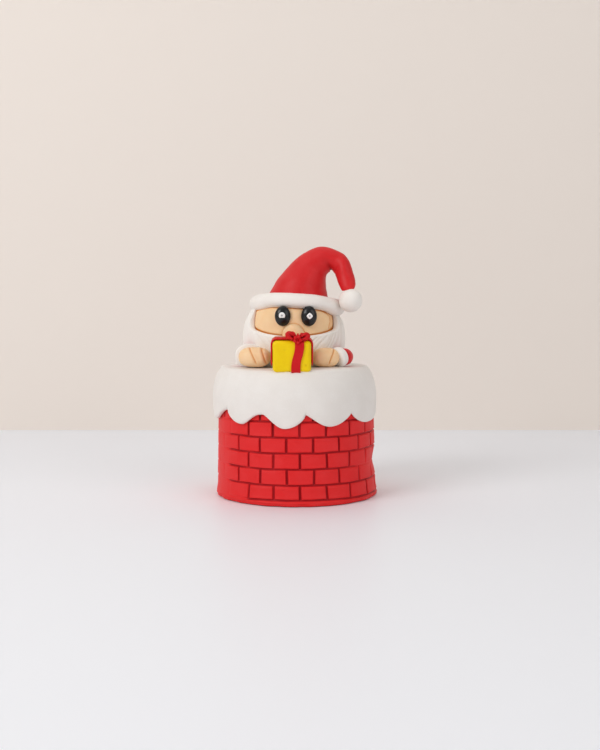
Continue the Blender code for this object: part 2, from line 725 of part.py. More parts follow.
def make_present(parent, yellow, red, clear_snow):
    present = bpy.data.objects.new("present", None)
    present.location = PRESENT_PLACE
    present.rotation_euler = (math.radians(PRESENT_LEAN), 0, 0)
    present.parent = parent
    bpy.context.scene.collection.objects.link(present)

    bm = bmesh.new()
    bmesh.ops.create_cube(bm, size=1.0)
    bmesh.ops.scale(bm, vec=BOX_SIZE, verts=bm.verts)
    box = piece("gift_box", bm, yellow, present, (0, 0, BOX_SIZE.z / 2))
    rounding = box.modifiers.new("rounded edges", "BEVEL")
    rounding.width = BOX_ROUNDING
    rounding.segments = 3
    cut_by(box, clear_snow)

    piece("bow_knot", bow_knot_mesh(), red, present, KNOT_PLACE)
    clear_knot = cutter("knot_clearance", bow_knot_mesh(GAP), present, KNOT_PLACE)
    band = piece("gift_band", box_band_mesh(), red, present)
    ribbon = piece("gift_ribbon", front_ribbon_mesh(), red, present)
    cut_by(band, clear_knot)
    cut_by(ribbon, clear_knot)
    cut_by(box, clear_knot)
    for side, place in LOOP_PLACE.items():
        turn = (0, math.radians(-LOOP_TURN[side]), 0)
        loop = piece(f"bow_loop_{side}", bow_loop_mesh(), red, present, place, turn)
        cut_by(loop, clear_knot)
        clear_loop = cutter(
            f"loop_clearance_{side}", bow_loop_mesh(GAP), present, place, turn
        )
        cut_by(band, clear_loop)
        cut_by(box, clear_loop)


def main():
    clear_scene()
    brick_red = paste("brick red sugar paste", "d4282c", 0.55)
    hat_red = paste("hat red sugar paste", "cc2328", 0.5)
    ribbon_red = paste("ribbon red sugar paste", "cb1c20", 0.5)
    snow_white = paste("snow white sugar paste", "e8e0d9", 0.6)
    skin = paste("skin sugar paste", "eec091", 0.55)
    black = paste("black sugar paste", "222528", 0.3)
    yellow = paste("yellow sugar paste", "ebc803", 0.5)

    cake = bpy.data.objects.new("christmas_cake", None)
    bpy.context.scene.collection.objects.link(cake)
    make_brick_wall(cake, brick_red)
    make_snow_cap(cake, snow_white)
    make_head(cake, skin, snow_white, black)
    make_hat(cake, hat_red, snow_white)
    clear_beard = cutter(
        "beard_clearance", superball(grown(BEARD_SIZE), 2.0, 36, 18), cake, BEARD_CENTRE
    )
    for side in ("left", "right"):
        make_arm(side, cake, skin, snow_white, hat_red, clear_beard)
    make_present(cake, yellow, ribbon_red, snow_clearance(cake))


main()
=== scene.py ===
"""Christmas cake: the looks of a round cake in red brick-patterned sugar paste, under a scalloped
snow cap, with a bearded figure in a bent hat who rests both hands on it beside a present.

Every piece replaces its node of the frame and follows the same sizes. Sizes here are in
millimetres, +Z up, with the origin at the centre of the cake's base, and the figure faces -Y.
A bearing is an angle round an upright axis, in degrees: 0 faces -Y and 90 faces +X.
"""

import bisect
import random
from math import atan2, copysign, cos, degrees, exp, floor, hypot, log, pi, radians, sin, sqrt, tau

import bmesh
import bpy
from mathutils import Euler, Matrix, Vector, noise


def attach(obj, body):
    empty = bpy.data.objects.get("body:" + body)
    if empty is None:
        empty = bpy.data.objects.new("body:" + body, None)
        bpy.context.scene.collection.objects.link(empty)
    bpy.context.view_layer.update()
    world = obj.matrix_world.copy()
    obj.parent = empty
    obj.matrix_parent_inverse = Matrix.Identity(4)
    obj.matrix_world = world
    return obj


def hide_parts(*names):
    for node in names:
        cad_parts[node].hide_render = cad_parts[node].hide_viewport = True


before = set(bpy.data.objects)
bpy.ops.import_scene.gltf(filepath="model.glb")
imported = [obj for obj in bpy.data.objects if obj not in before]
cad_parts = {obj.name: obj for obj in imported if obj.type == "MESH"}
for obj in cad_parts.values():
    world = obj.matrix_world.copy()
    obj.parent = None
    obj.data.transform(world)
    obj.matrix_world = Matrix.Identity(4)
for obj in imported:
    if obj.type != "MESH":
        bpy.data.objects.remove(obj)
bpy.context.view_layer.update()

MM = 0.001
# Points closer than this become one, and the attribute that says how much painted shade a place gets,
# from 0 to 1, where it is pressed in
MERGE = 0.002
PAINTED_SHADE = "pressed"

# The cake's wall
WALL_RADIUS = 70.3
WALL_TAPER = 0.02
WALL_LEAN = -0.012
SHOULDER_HEIGHT = 98.0
CAKE_TOP_RADIUS = 60.0
CAKE_TOP = 108.8
FOOT_STEPS = (0.0, 0.2, 0.45, 0.7, 1.0, 1.3, 1.6, 1.9, 2.2, 2.5, 2.8)
ROW_UNDER_CAP = 90.0
# The dent in the wall's right side, as degrees round and millimetres up
DENT = {"bearing": 92.0, "height": 31.6, "depth": 2.7, "spread": 22.0, "rise": 9.0}

# Its bricks, laid in courses above a plain foot band. Beds are the level joints
HALF_BRICKS = 38
HALF_BRICK = 360 / HALF_BRICKS
SEAM_BEARING = 173.3
BAND_HEIGHT = 5.3
COURSE_HEIGHT = 13.1
COURSES = 6
BED_DROPS = (-0.2, 0.6, 0.3, 0.1, 0.2, 0.4)
BED_WIDTH, BED_DEPTH = 1.7, 1.3
JOINT_WIDTH, JOINT_DEPTH = 2.0, 1.85
# Where rows and columns lie beside the line of a joint
JOINT_STEPS = (-2.3, -1.6, -1.25, -1.0, -0.8, -0.55, -0.2, 0.2, 0.55, 0.8, 1.0, 1.25, 1.6, 2.3)
FACE_STEPS = 4
# The bearings between which a hand has smoothed the joints away, and the smoothed round beside
# the dent, as its bearing and height with its spread in each
SMOOTHED_FROM, SMOOTHED_TO = -90.0, -52.0
SMOOTHED_ROUND = ((DENT["bearing"] - 22.0, 24.0), (DENT["height"], 10.0))

# The snow cap, (radius, height) down its outside
CAP_CENTRE = (-2.0, 0.0)
CAP_OUTSIDE = (
    (52.0, 113.8),
    (61.8, 113.0),
    (65.2, 111.5),
    (67.9, 107.8),
    (70.4, 101.5),
    (71.8, 94.5),
    (72.4, 87.0),
)
CAP_INNER_RINGS = (8.0, 24.0, 36.0, 42.0, 46.0, 49.5)
CAP_SKIRT_RADIUS = 72.4
CAP_TUCK, CAP_TUCK_START, CAP_TUCK_RANGE = 1.9, 80.0, 15.0
CAP_SHOULDER_STEPS, CAP_SKIRT_ROWS, CAP_LIP_ROWS, CAP_INNER_ROWS = 5, 16, 9, 5
CAP_LIP = 2.2
CAP_OFF_WALL = 0.25
LOBE_STEPS = 28
# How deep the cap is pinched in above a notch, and above those that differ, by their number
CAP_PINCH = 0.7
CAP_PINCHES = {0: 2.2}
# Each front lobe: the bearing of its first notch, that notch's height, its lowest height, how
# far along it the lowest point lies, and how steeply it falls and rises: below 1 is a full
# round side, and above 1 a hollow one
FRONT_LOBES = (
    (-52.3, 78.6, 67.6, 0.42, 0.8, 2.4),
    (-21.6, 76.6, 65.2, 0.5, 1.4, 0.62),
    (7.4, 76.8, 66.4, 0.5, 1.2, 0.85),
    (42.2, 76.4, 67.1, 0.36, 1.1, 0.5),
)
BACK_LOBES = 7
BACK_LOBES_START = 96.0
BACK_LOBE = (76.5, 65.4, 0.5, 0.8, 0.8)
LAST_LOBE = (76.5, 68.2, 0.3, 0.8, 2.2)

# The head and beard
HEAD_CENTRE = Vector((-2.5, 0.5, 144.0))
HEAD_SIZE = Vector((39.0, 40.3, 33.5))
HEAD_POWER = 3.0
HEAD_FOOT = 114.1
HEAD_CUT = 169.2
TEMPLE_FOLD = 53.5
BEARD_CENTRE = Vector((-2.5, 0.5, 137.0))
BEARD_SIZE = Vector((45.2, 44.0, 52.3))
BEARD_LIP = 4.4
BEARD_SUNK = 0.8
FACE_HALF_ANGLE = 63.5
FACE_MIDDLE = 0.8
FACE_LOW = 140.6
FACE_CORNER_RISE = 7.0
FACE_CORNER_ROUND = 10.0
FACE_CORNER_POWER = 40
# The comb lines: the bearings they run between, the height at which their bearing is taken,
# and how many degrees a line leans for each millimetre up, by its bearing
COMB_FROM, COMB_TO = -24.0, 185.0
COMB_LEVEL = 148.0
COMB_LEAN = ((0.0, 2.0), (25.0, 2.0), (50.0, 1.1), (68.0, 0.4), (110.0, 0.0), (185.0, 0.0))
EYE_SIZE = Vector((6.75, 4.4, 8.5))
EYE_CENTRE = {"left": Vector((-11.8, -39.6, 157.6)), "right": Vector((10.4, -39.6, 157.6))}
GLINT_SIZE = Vector((2.7, 1.0, 2.8))
GLINT_CENTRE = {"left": Vector((-12.4, -43.9, 158.0)), "right": Vector((11.0, -43.9, 157.7))}
NOSE_CENTRE = Vector((-2.8, -39.4, 142.0))
NOSE_SIZE = Vector((9.3, 7.6, 9.2))
NOSE_UNDER = 0.97
# How uneven each hand-rolled ball is, as the share, size and seed of its bumps
EYE_BUMPS = ((0.012, 0.5, 3.0),)
NOSE_BUMPS = ((0.025, 0.8, 0.0),)
POMPOM_BUMPS = ((0.03, 1.1, 4.0), (0.008, 0.35, 2.0))

# The hat
BRIM_CENTRE = Vector((0.7, 0.0, 168.2))
BRIM_RADIUS = 35.0
ROLL_RADIUS = 7.4
BRIM_TILT = 2.7
BRIM_SEAM = 171.0
# How far the brim arches up over the face and hangs down elsewhere, and its share pressed flat
BRIM_ARCH, BRIM_DROP = 2.9, 1.7
BRIM_SQUASH = 0.3
# Both outlines of the cone from brim to tip, as (outer x, outer z, inner x, inner z)
HAT_OUTLINE = (
    (-30.6, 168.8, 35.4, 168.8),
    (-27.8, 172.0, 32.8, 172.0),
    (-24.9, 175.4, 27.6, 174.0),
    (-24.0, 178.0, 26.6, 178.0),
    (-21.2, 183.0, 25.7, 183.0),
    (-15.8, 191.4, 25.6, 191.4),
    (1.0, 208.9, 27.6, 195.6),
    (19.4, 217.7, 30.6, 197.2),
    (36.2, 213.9, 32.9, 195.2),
    (44.6, 206.8, 33.9, 192.3),
    (49.5, 192.8, 35.4, 187.0),
    (50.7, 185.0, 37.9, 181.0),
    (49.3, 180.7, 39.0, 179.0),
)
HAT_STEPS = 12
HAT_SEGMENTS = 112
# Where along the outline the hat starts to bend forward, how far its tip comes and how suddenly
HAT_BEND_START = 5.5 / 12
HAT_REACH = -24.5
HAT_REACH_CURVE = 1.3
# Where along the outline the fold, the bulges beside it and the wrinkles lie, with their widths
HAT_FOLD = (6.9, 0.3)
HAT_BULGES = ((6.2, 0.4), (7.7, 0.4))
HAT_WRINKLES = (4.3, 1.2)
POMPOM_CENTRE = Vector((46.3, -26.0, 170.9))
POMPOM_SIZE = Vector((10.1, 10.1, 10.1))

# The arms. Each hand: its centre, half its size and its turn
HAND = {
    "left": (Vector((-35.6, -41.2, 123.0)), Vector((13.6, 8.4, 8.4)), -16.0),
    "right": (Vector((24.6, -41.6, 122.7)), Vector((11.3, 8.2, 8.2)), 18.0),
}
HAND_POWER = 2.7
# Finger lines pressed in each hand, as the line's x at the top, middle and foot of the hand
FINGER_LINES = {
    "left": ((-3.8, 1.6, 3.8), (6.4, 10.4, 10.8)),
    "right": ((7.0, 2.2, 0.4),),
}
# Each cuff: its centre, radius and turn
CUFF = {
    "left": (Vector((-43.6, -32.6, 124.6)), 9.5, 95.0),
    "right": (Vector((36.4, -35.4, 122.9)), 8.5, 45.0),
}
CUFF_WIDTH = 6.0
# How much wider than high a cuff is, how far that moves it aside, its length and how far that
# reaches towards the hand. How much the cuff leans back, and how much the sleeve rises behind it
CUFF_SHAPE = {"left": (1.26, 3.0, 1.0, 0.0), "right": (1.0, 0.0, 1.35, 0.5)}
CUFF_LEAN = {"left": 0.0, "right": -20.0}
# The power of a cuff's lower half, which settles on the cake: 2 is round, and more is squarer
CUFF_FOOT_POWER = {"left": 3.4, "right": 2.0}
ARM_RISE = {"left": 0.0, "right": 3.0}
# The turn at the end of each sleeve, and its length
SLEEVE = {"left": (45.0, 19.0), "right": (150.0, 17.0)}
SLEEVE_THINNER = 1.1
FIT_GAP = 0.3

# The present, in its own upright frame, which leans forward on the cake's shoulder
PRESENT_PLACE = Vector((-3.9, -57.5, 112.2))
PRESENT_LEAN = 6.0
BOX_SIZE = Vector((31.8, 17.0, 26.3))
BOX_ROUNDING = 3.4
BAND_THICKNESS = 1.3
BAND_WIDTH = 12.6
BAND_MIDDLE = 0.8
BAND_TOP_EXTRA = 0.9
BAND_END = 5.5
RIBBON_WIDTH = 7.6
RIBBON_THICKNESS = 1.2
RIBBON_TOP, RIBBON_DRIFT, RIBBON_SWAY = 6.0, 2.4, 0.8
# Small dents in the box's front: x, y, z and depth
BOX_DENTS = ((11.4, -8.5, 6.2, 0.55), (3.6, -8.5, 9.5, 0.3), (-6.0, -8.5, 19.0, 0.2))
LOOP_SIZE = Vector((5.3, 3.4, 4.0))
LOOP_PLACE = {"left": Vector((-0.4, -6.2, 30.3)), "right": Vector((9.9, -6.2, 29.5))}
LOOP_TURN = {"left": -24.0, "right": 14.0}
KNOT_PLACE = Vector((4.7, -9.6, 27.7))

# Sizes of the paste's texture: how far apart specks of icing sugar and low lumps lie
DUST = 1.3
LOW_LUMP = 4.0

# The photograph's camera: focal length in pixels of a frame 600 wide and 750 high
FOCAL_PIXELS = 1025.4
FRAME_HEIGHT = 750
SENSOR = 36.0
CAMERA_PLACE = Vector((2.8, -908.2, 168.3))
CAMERA_PITCH = 3.99
WALL_BEHIND = 451.0


def at_bearing(bearing, radius, height, centre=(0.0, 0.0)):
    angle = radians(bearing)
    return Vector((centre[0] + radius * sin(angle), centre[1] - radius * cos(angle), height))


def front_bearing(bearing):
    """The same bearing, between -180 and 180."""
    return (bearing + 180) % 360 - 180


def smooth_step(low, high, value):
    share = min(max((value - low) / (high - low), 0.0), 1.0)
    return share * share * (3 - 2 * share)


def window(value, start, full, till, end):
    """0 up to start, 1 from full till the next value, and 0 again past the end."""
    return smooth_step(start, full, value) * smooth_step(end, till, value)


def lumps(place, size, seed=0.0):
    """Smooth noise from -1 to 1 whose bumps are about size across."""
    return noise.noise(Vector(place) / size + Vector((seed, 2.3 * seed, 5.1 * seed)))


def groove(distance, width, depth, sharp=4):
    """How deep a rounded groove is at a distance from its line."""
    return depth / (1 + (2 * abs(distance) / width) ** sharp)


def bump(distance, width):
    """1 on a line or point, and down to nothing past about twice the width from it."""
    return exp(-((distance / width) ** 2))


def catmull(points, place):
    """A point on the smooth curve through all the points, where place counts along them."""
    first = min(int(place), len(points) - 2)
    part = place - first
    at = [points[min(max(first + step, 0), len(points) - 1)] for step in (-1, 0, 1, 2)]
    weights = (
        (-part + 2 * part**2 - part**3) / 2,
        (2 - 5 * part**2 + 3 * part**3) / 2,
        (part + 4 * part**2 - 3 * part**3) / 2,
        (-(part**2) + part**3) / 2,
    )
    return [sum(w * row[i] for w, row in zip(weights, at)) for i in range(len(at[0]))]


def wrapped(columns, rows, place, round_rows=False):
    """A grid joined round its columns, and closed by lids or joined round its rows too.
    place(column, row) gives each point and how much painted shade it gets, from 0 to 1."""
    bm = bmesh.new()
    pressed = bm.verts.layers.float.new(PAINTED_SHADE)
    steps = rows if round_rows else rows - 1
    bmesh.ops.create_grid(bm, x_segments=columns, y_segments=steps, size=1.0)
    for index, vert in enumerate(bm.verts):
        row, column = divmod(index, columns + 1)
        vert.co, vert[pressed] = place(column % columns, row % rows)
    bmesh.ops.remove_doubles(bm, verts=bm.verts, dist=MERGE)
    bmesh.ops.holes_fill(bm, edges=bm.edges, sides=0)
    bmesh.ops.recalc_face_normals(bm, faces=bm.faces)
    return bm


def ball(segments, rings, power=2.0):
    """A ball of radius 1 whose upright section is a superellipse, with the painted shade layer."""
    bm = bmesh.new()
    bm.verts.layers.float.new(PAINTED_SHADE)
    bmesh.ops.create_uvsphere(bm, u_segments=segments, v_segments=rings, radius=1.0)
    for vert in bm.verts:
        across = hypot(vert.co.x, vert.co.y)
        vert.co /= (across**power + abs(vert.co.z) ** power) ** (1 / power)
    return bm


def facing_front(bm):
    """Turns a mesh that was made facing up to face -Y."""
    turn = Matrix.Rotation(pi / 2, 3, "X")
    bmesh.ops.rotate(bm, cent=(0, 0, 0), matrix=turn, verts=bm.verts)


def in_scene(name, data):
    made = bpy.data.objects.new(name, data)
    bpy.context.scene.collection.objects.link(made)
    return made


def meshed(name, bm, material):
    mesh = bpy.data.meshes.new(name)
    bm.to_mesh(mesh)
    bm.free()
    mesh.materials.append(material)
    return in_scene(name, mesh)


def finished(name, bm, material, nodes, matrix=None):
    """Places a piece's mesh in the frame, in metres, and hides the nodes it stands for."""
    if matrix:
        bmesh.ops.transform(bm, matrix=matrix, verts=bm.verts)
    bmesh.ops.scale(bm, vec=(MM, MM, MM), verts=bm.verts)
    made = meshed(name, bm, material)
    made.data.shade_smooth()
    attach(made, "root")
    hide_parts(*nodes)


def placed(centre, turn_z=0.0, turn_y=0.0):
    turn = Euler((0, radians(turn_y), radians(turn_z))).to_matrix().to_4x4()
    return Matrix.Translation(centre) @ turn


def linear(channel):
    return channel / 12.92 if channel <= 0.04045 else ((channel + 0.055) / 1.055) ** 2.4


def colour(code):
    """An sRGB hex colour as the linear colour that nodes use."""
    return (*(linear(int(code[at : at + 2], 16) / 255) for at in (0, 2, 4)), 1.0)


def add(tree, kind, values=None, links=None, **properties):
    """Adds a node with its properties, then sets its sockets and links them to outputs."""
    node = tree.nodes.new("ShaderNode" + kind)
    for name, value in properties.items():
        setattr(node, name, value)
    for socket, value in (values or {}).items():
        node.inputs[socket].default_value = value
    for socket, output in (links or {}).items():
        tree.links.new(output, node.inputs[socket])
    return node


def sugar_paste(name, middle, pale, deep, roughness, mottle=9.0, grain=0.3, lump=0.05, glow=0.1):
    """Sugar paste is icing sugar and gelatine, kneaded and then rolled or modelled by hand: a
    satin skin, a little cloudy where icing sugar was worked in, with a fine sugar grain and
    low hand-made lumps. Where it is pressed in, its colour is mixed towards deep, as painted
    shade in grooves, creases, gaps and hollows. It lets in a little light. Sizes in millimetres:
    mottle across a cloud, grain (drawn coarser than real sugar, to show), and lump for the
    height of the low lumps."""
    material = bpy.data.materials.new(name)
    material.use_nodes = True
    tree = material.node_tree
    shader = tree.nodes["Principled BSDF"]
    for socket, value in {
        "Metallic": 0.0,
        "IOR": 1.45,
        "Specular IOR Level": 0.25,
        "Subsurface Weight": glow,
        "Subsurface Radius": [max(part, 0.12) for part in colour(pale)[:3]],
        "Subsurface Scale": 2.5 * MM,
    }.items():
        shader.inputs[socket].default_value = value
    pressed = add(tree, "Attribute", attribute_name=PAINTED_SHADE).outputs["Fac"]
    place = {"Vector": add(tree, "TexCoord").outputs["Object"]}
    cloud, dust, low, sugar = (
        add(tree, "TexNoise", {"Scale": 1 / (size * MM), "Detail": detail}, place).outputs["Fac"]
        for size, detail in ((mottle, 4.0), (DUST, 3.0), (LOW_LUMP, 2.0), (grain, 2.0))
    )

    # Map Range takes its value in socket 0, the old range in 1 and 2 and the new one in 3 and 4.
    # Mix takes its share in socket 0 and its colours in 6 and 7, and gives its colour in 2
    clouds = add(tree, "MapRange", {1: 0.4, 2: 0.68, 3: 0.0, 4: 0.6}, {0: cloud}).outputs[0]
    dusts = add(tree, "MapRange", {1: 0.5, 2: 0.75, 3: 0.0, 4: 0.35}, {0: dust}).outputs[0]
    both = add(tree, "Math", None, {0: clouds, 1: dusts}, operation="ADD", use_clamp=True)
    pastes = {6: colour(middle), 7: colour(pale)}
    cloudy = add(tree, "Mix", pastes, {0: both.outputs[0]}, data_type="RGBA").outputs[2]
    # Painted shade: the pressed attribute mixes the paste towards its deep colour
    shades = {0: pressed, 6: cloudy}
    painted_shade_mix = add(tree, "Mix", {7: colour(deep)}, shades, data_type="RGBA", clamp_factor=True)
    tree.links.new(painted_shade_mix.outputs[2], shader.inputs["Base Color"])

    satin = {1: 0.3, 2: 0.7, 3: roughness - 0.05, 4: roughness + 0.07}
    sheen = add(tree, "MapRange", satin, {0: cloud}).outputs[0]
    tree.links.new(sheen, shader.inputs["Roughness"])

    uneven = add(tree, "Bump", {"Strength": 0.5, "Distance": lump * MM}, {"Height": low}).outputs[0]
    relief = {"Height": sugar, "Normal": uneven}
    grained = add(tree, "Bump", {"Strength": 0.25, "Distance": 0.03 * MM}, relief).outputs[0]
    tree.links.new(grained, shader.inputs["Normal"])
    return material


def flecked(material, scale, size, code):
    """Adds rare dark crumbs of cake caught in the paste, about size across and scale apart."""
    tree = material.node_tree
    shader = tree.nodes["Principled BSDF"]
    base = shader.inputs["Base Color"].links[0].from_socket
    place = {"Vector": add(tree, "TexCoord").outputs["Object"]}
    cells = add(tree, "TexVoronoi", {"Scale": 1 / (scale * MM)}, place).outputs["Distance"]
    edge = {1: size / scale * 0.35, 2: size / scale * 0.6, 3: 0.75, 4: 0.0}
    fleck = add(tree, "MapRange", edge, {0: cells}).outputs[0]
    mixed = add(tree, "Mix", {7: colour(code)}, {0: fleck, 6: base}, data_type="RGBA")
    tree.links.new(mixed.outputs[2], shader.inputs["Base Color"])


def black_gloss_paste():
    """Black sugar paste brushed with a glaze: near black, a low sheen, with small dull dimples
    and specks that break its highlights."""
    black, roughness = ("0f1012", "1a1c1e", "070708"), 0.42
    material = sugar_paste("glazed black paste", *black, roughness, 3.0, 0.5, 0.25, 0.0)
    shader = material.node_tree.nodes["Principled BSDF"]
    shader.inputs["Coat Weight"].default_value = 0.4
    shader.inputs["Coat Roughness"].default_value = 0.06
    return material


def wall_radius(bearing, height):
    off = front_bearing(bearing - DENT["bearing"])
    spread = (off / DENT["spread"]) ** 2 + ((height - DENT["height"]) / DENT["rise"]) ** 2
    return WALL_RADIUS - WALL_TAPER * height - DENT["depth"] * exp(-spread)


def wall_point(bearing, height, inward=0.0):
    radius = wall_radius(bearing, height) - inward
    return at_bearing(bearing, radius, height, (WALL_LEAN * height, 0.0))


def brick_joints(rng):
    """Each course's upright joints: {joint number: (shift, slant, depth)}."""
    courses = []
    for course in range(COURSES):
        joints = {}
        for joint in range(HALF_BRICKS):
            shift = rng.uniform(-0.4, 0.4)
            slant = rng.uniform(-0.04, 0.04)
            depth = JOINT_DEPTH * rng.uniform(0.8, 1.1)
            if joint == 0 or joint % 2 == course % 2:
                joints[joint] = (shift, slant, depth)
        courses.append(joints)
    return courses


def brick_face(rng):
    """How one brick's face lies: its offset, and its lean across and up, in millimetres."""
    return rng.uniform(-0.16, 0.16), rng.uniform(-0.12, 0.12), rng.uniform(-0.1, 0.1)


def wall_columns():
    """The wall's columns as bearings, close together at each half brick's joint line."""
    per_mm = degrees(1 / WALL_RADIUS)
    columns = []
    for joint in range(HALF_BRICKS):
        line = SEAM_BEARING + joint * HALF_BRICK
        columns += [line + step * per_mm for step in JOINT_STEPS]
        left = JOINT_STEPS[-1] * per_mm
        room = HALF_BRICK - 2 * left
        columns += [line + left + room * step / FACE_STEPS for step in range(1, FACE_STEPS)]
    return columns


def wall_rows():
    """The wall's rows as heights, close together at each bed line and in the foot band."""
    rows = list(FOOT_STEPS)
    for course in range(COURSES):
        line = BAND_HEIGHT + course * COURSE_HEIGHT
        rows += [line + step for step in JOINT_STEPS]
        top = line + JOINT_STEPS[-1]
        room = COURSE_HEIGHT - 2 * JOINT_STEPS[-1]
        rows += [top + room * step / FACE_STEPS for step in range(1, FACE_STEPS)]
    return rows + [ROW_UNDER_CAP, SHOULDER_HEIGHT]


def make_wall_relief():
    """Returns relief(bearing, height): how far in the paste lies there, in millimetres, and how deep
    the groove is there, which sets the painted shade.
    """
    rng = random.Random(11)
    courses = brick_joints(rng)
    faces = [[brick_face(rng) for _ in range(HALF_BRICKS + 1)] for _ in range(COURSES)]

    def smoothed(bearing, height):
        """Where a hand has smoothed the bricks away: by the front left, and in the dent."""
        start, end = SMOOTHED_FROM, SMOOTHED_TO
        left = window(bearing, start - 4, start + 10, end - 9, end)
        (middle, spread), (level, rise) = SMOOTHED_ROUND
        off = ((bearing - middle) / spread) ** 2 + ((height - level) / rise) ** 2
        return max(left, 0.9 * exp(-off))

    def bed(bearing, height):
        """How deep the nearest bed is pressed in here, and how far above it this is."""
        near = round((height - BAND_HEIGHT) / COURSE_HEIGHT)
        if not 0 <= near < COURSES:
            return 0.0, 9.0
        around = at_bearing(bearing, WALL_RADIUS, near * 31.0)
        line = BAND_HEIGHT + near * COURSE_HEIGHT - BED_DROPS[near] + 0.35 * lumps(around, 14.0, near)
        if near == 0:
            line -= 1.2 * sin(radians(bearing)) ** 2
        depth = BED_DEPTH * (1 + 0.25 * lumps(around, 9.0, near + 7.0))
        depth *= 1 - 0.85 * smoothed(bearing, height)
        if near == 0:
            depth *= 1 - window(bearing, -100.0, -90.0, -40.0, -34.0)
        away = height - line
        return groove(away, BED_WIDTH, depth, 6), away

    def upright(bearing, height, course):
        """How deep the upright joints are pressed in here, and how far off the nearest is."""
        turned = (bearing - SEAM_BEARING) % 360
        number = turned / HALF_BRICK
        deepest, nearest = 0.0, 9.0
        for joint in (floor(number), floor(number) + 1):
            found = courses[course].get(joint % HALF_BRICKS)
            if not found:
                continue
            shift, slant, depth = found
            middle = BAND_HEIGHT + (course + 0.5) * COURSE_HEIGHT
            away = radians(turned - joint * HALF_BRICK) * WALL_RADIUS - shift
            away -= slant * (height - middle)
            line = front_bearing(SEAM_BEARING + joint * HALF_BRICK)
            if SMOOTHED_FROM - 12 < line < SMOOTHED_TO and course < COURSES - 1:
                continue
            depth *= 1 - smoothed(line, height) * (line > 0)
            ends = BAND_HEIGHT + course * COURSE_HEIGHT
            reach = min(height - ends, ends + COURSE_HEIGHT - height)
            depth *= smooth_step(-0.2, 0.7, reach)
            if abs(away) < abs(nearest):
                nearest = away
            deepest = max(deepest, groove(away, JOINT_WIDTH, depth, 6))
        return deepest, nearest

    def relief(bearing, height):
        around = at_bearing(bearing, WALL_RADIUS, height)
        hand = 0.3 * lumps(around, 26.0) + 0.1 * lumps(around, 7.0, 3.0)
        hand += 0.03 * lumps(around, 1.6, 9.0)
        hand -= 0.9 * smooth_step(13.0, 2.0, height)
        seen = front_bearing(bearing)
        bed_in, bed_away = bed(seen, height)
        if height < BAND_HEIGHT:
            # The foot is torn and folded in thin ledges where it was trimmed with a knife
            level = Vector((around.x, around.y, 0))
            ledge = 2.1 + 0.9 * lumps(level, 17.0, 5.0)
            torn = smooth_step(-0.25, 0.3, lumps(level, 13.0, 8.0))
            cut = 0.9 * torn * smooth_step(ledge + 0.3, ledge - 0.15, height)
            fold = bump(height - (3.2 + 0.6 * lumps(level, 12.0, 15.0)), 0.35)
            cut -= 0.6 * fold * smooth_step(-0.1, 0.3, lumps(level, 7.0, 2.0))
            ragged = 0.3 * abs(lumps(around, 1.1, 4.0)) * smooth_step(BAND_HEIGHT, 1.0, height)
            # An undercut at the very foot, painted with shade as a dark line where the cake meets the
            # table
            edge = 2.2 * smooth_step(0.8, 0.4, height)
            return hand + bed_in + cut + ragged + edge, max(bed_in, edge)
        course = min(int((height - BAND_HEIGHT) / COURSE_HEIGHT), COURSES - 1)
        joint_in, joint_away = upright(bearing, height, course)
        brick = int(((bearing - SEAM_BEARING) % 360) / HALF_BRICK + course % 2) // 2
        offset, across, up = faces[course][brick]
        u = ((bearing - SEAM_BEARING) % 360 / HALF_BRICK + course % 2) % 2 - 1
        v = 2 * ((height - BAND_HEIGHT) / COURSE_HEIGHT - course) - 1
        face = offset + across * u + up * v + 0.12 * (u**4 + v**4)
        from_line = min(abs(bed_away), abs(joint_away))
        flat = smooth_step(0.0, 1.2, from_line)
        rim = 0.3 * bump(from_line - 1.45, 0.4)
        rim *= 1 - smoothed(seen, height)
        # The groove depth also sets painted shade in the joints
        pressed = max(bed_in, joint_in)
        return hand + face * flat - rim + pressed, pressed

    return relief


def make_wall(material):
    """The cake in its red paste: bricks with rounded, slightly raised edges and uneven faces,
    pressed with a flat tool, faint at the left where a hand smoothed them out again. Shade is
    painted into the joints and into an undercut at the foot."""
    columns, rows = wall_columns(), wall_rows()
    relief = make_wall_relief()

    def place(column, row):
        bearing = columns[column]
        if row == len(rows):
            return at_bearing(bearing, CAKE_TOP_RADIUS, CAKE_TOP, (WALL_LEAN * CAKE_TOP, 0)), 0.0
        inward, pressed = relief(bearing, rows[row])
        # Painted shade grows with the groove depth
        return wall_point(bearing, rows[row], inward), smooth_step(0.55, 1.3, pressed)

    bm = wrapped(len(columns), len(rows) + 1, place)
    finished("wall_paste", bm, material, ["brick_wall"])


def cap_lobes():
    """All the lobes in turn from the front left, with the back ones evenly spaced."""
    lobes = list(FRONT_LOBES)
    width = (360 + FRONT_LOBES[0][0] - BACK_LOBES_START) / BACK_LOBES
    rng = random.Random(3)
    for index in range(BACK_LOBES):
        notch, low, *shape = BACK_LOBE if index < BACK_LOBES - 1 else LAST_LOBE
        uneven = rng.uniform(-0.7, 0.7)
        lobes.append((BACK_LOBES_START + index * width, notch + uneven, low - uneven, *shape))
    return lobes


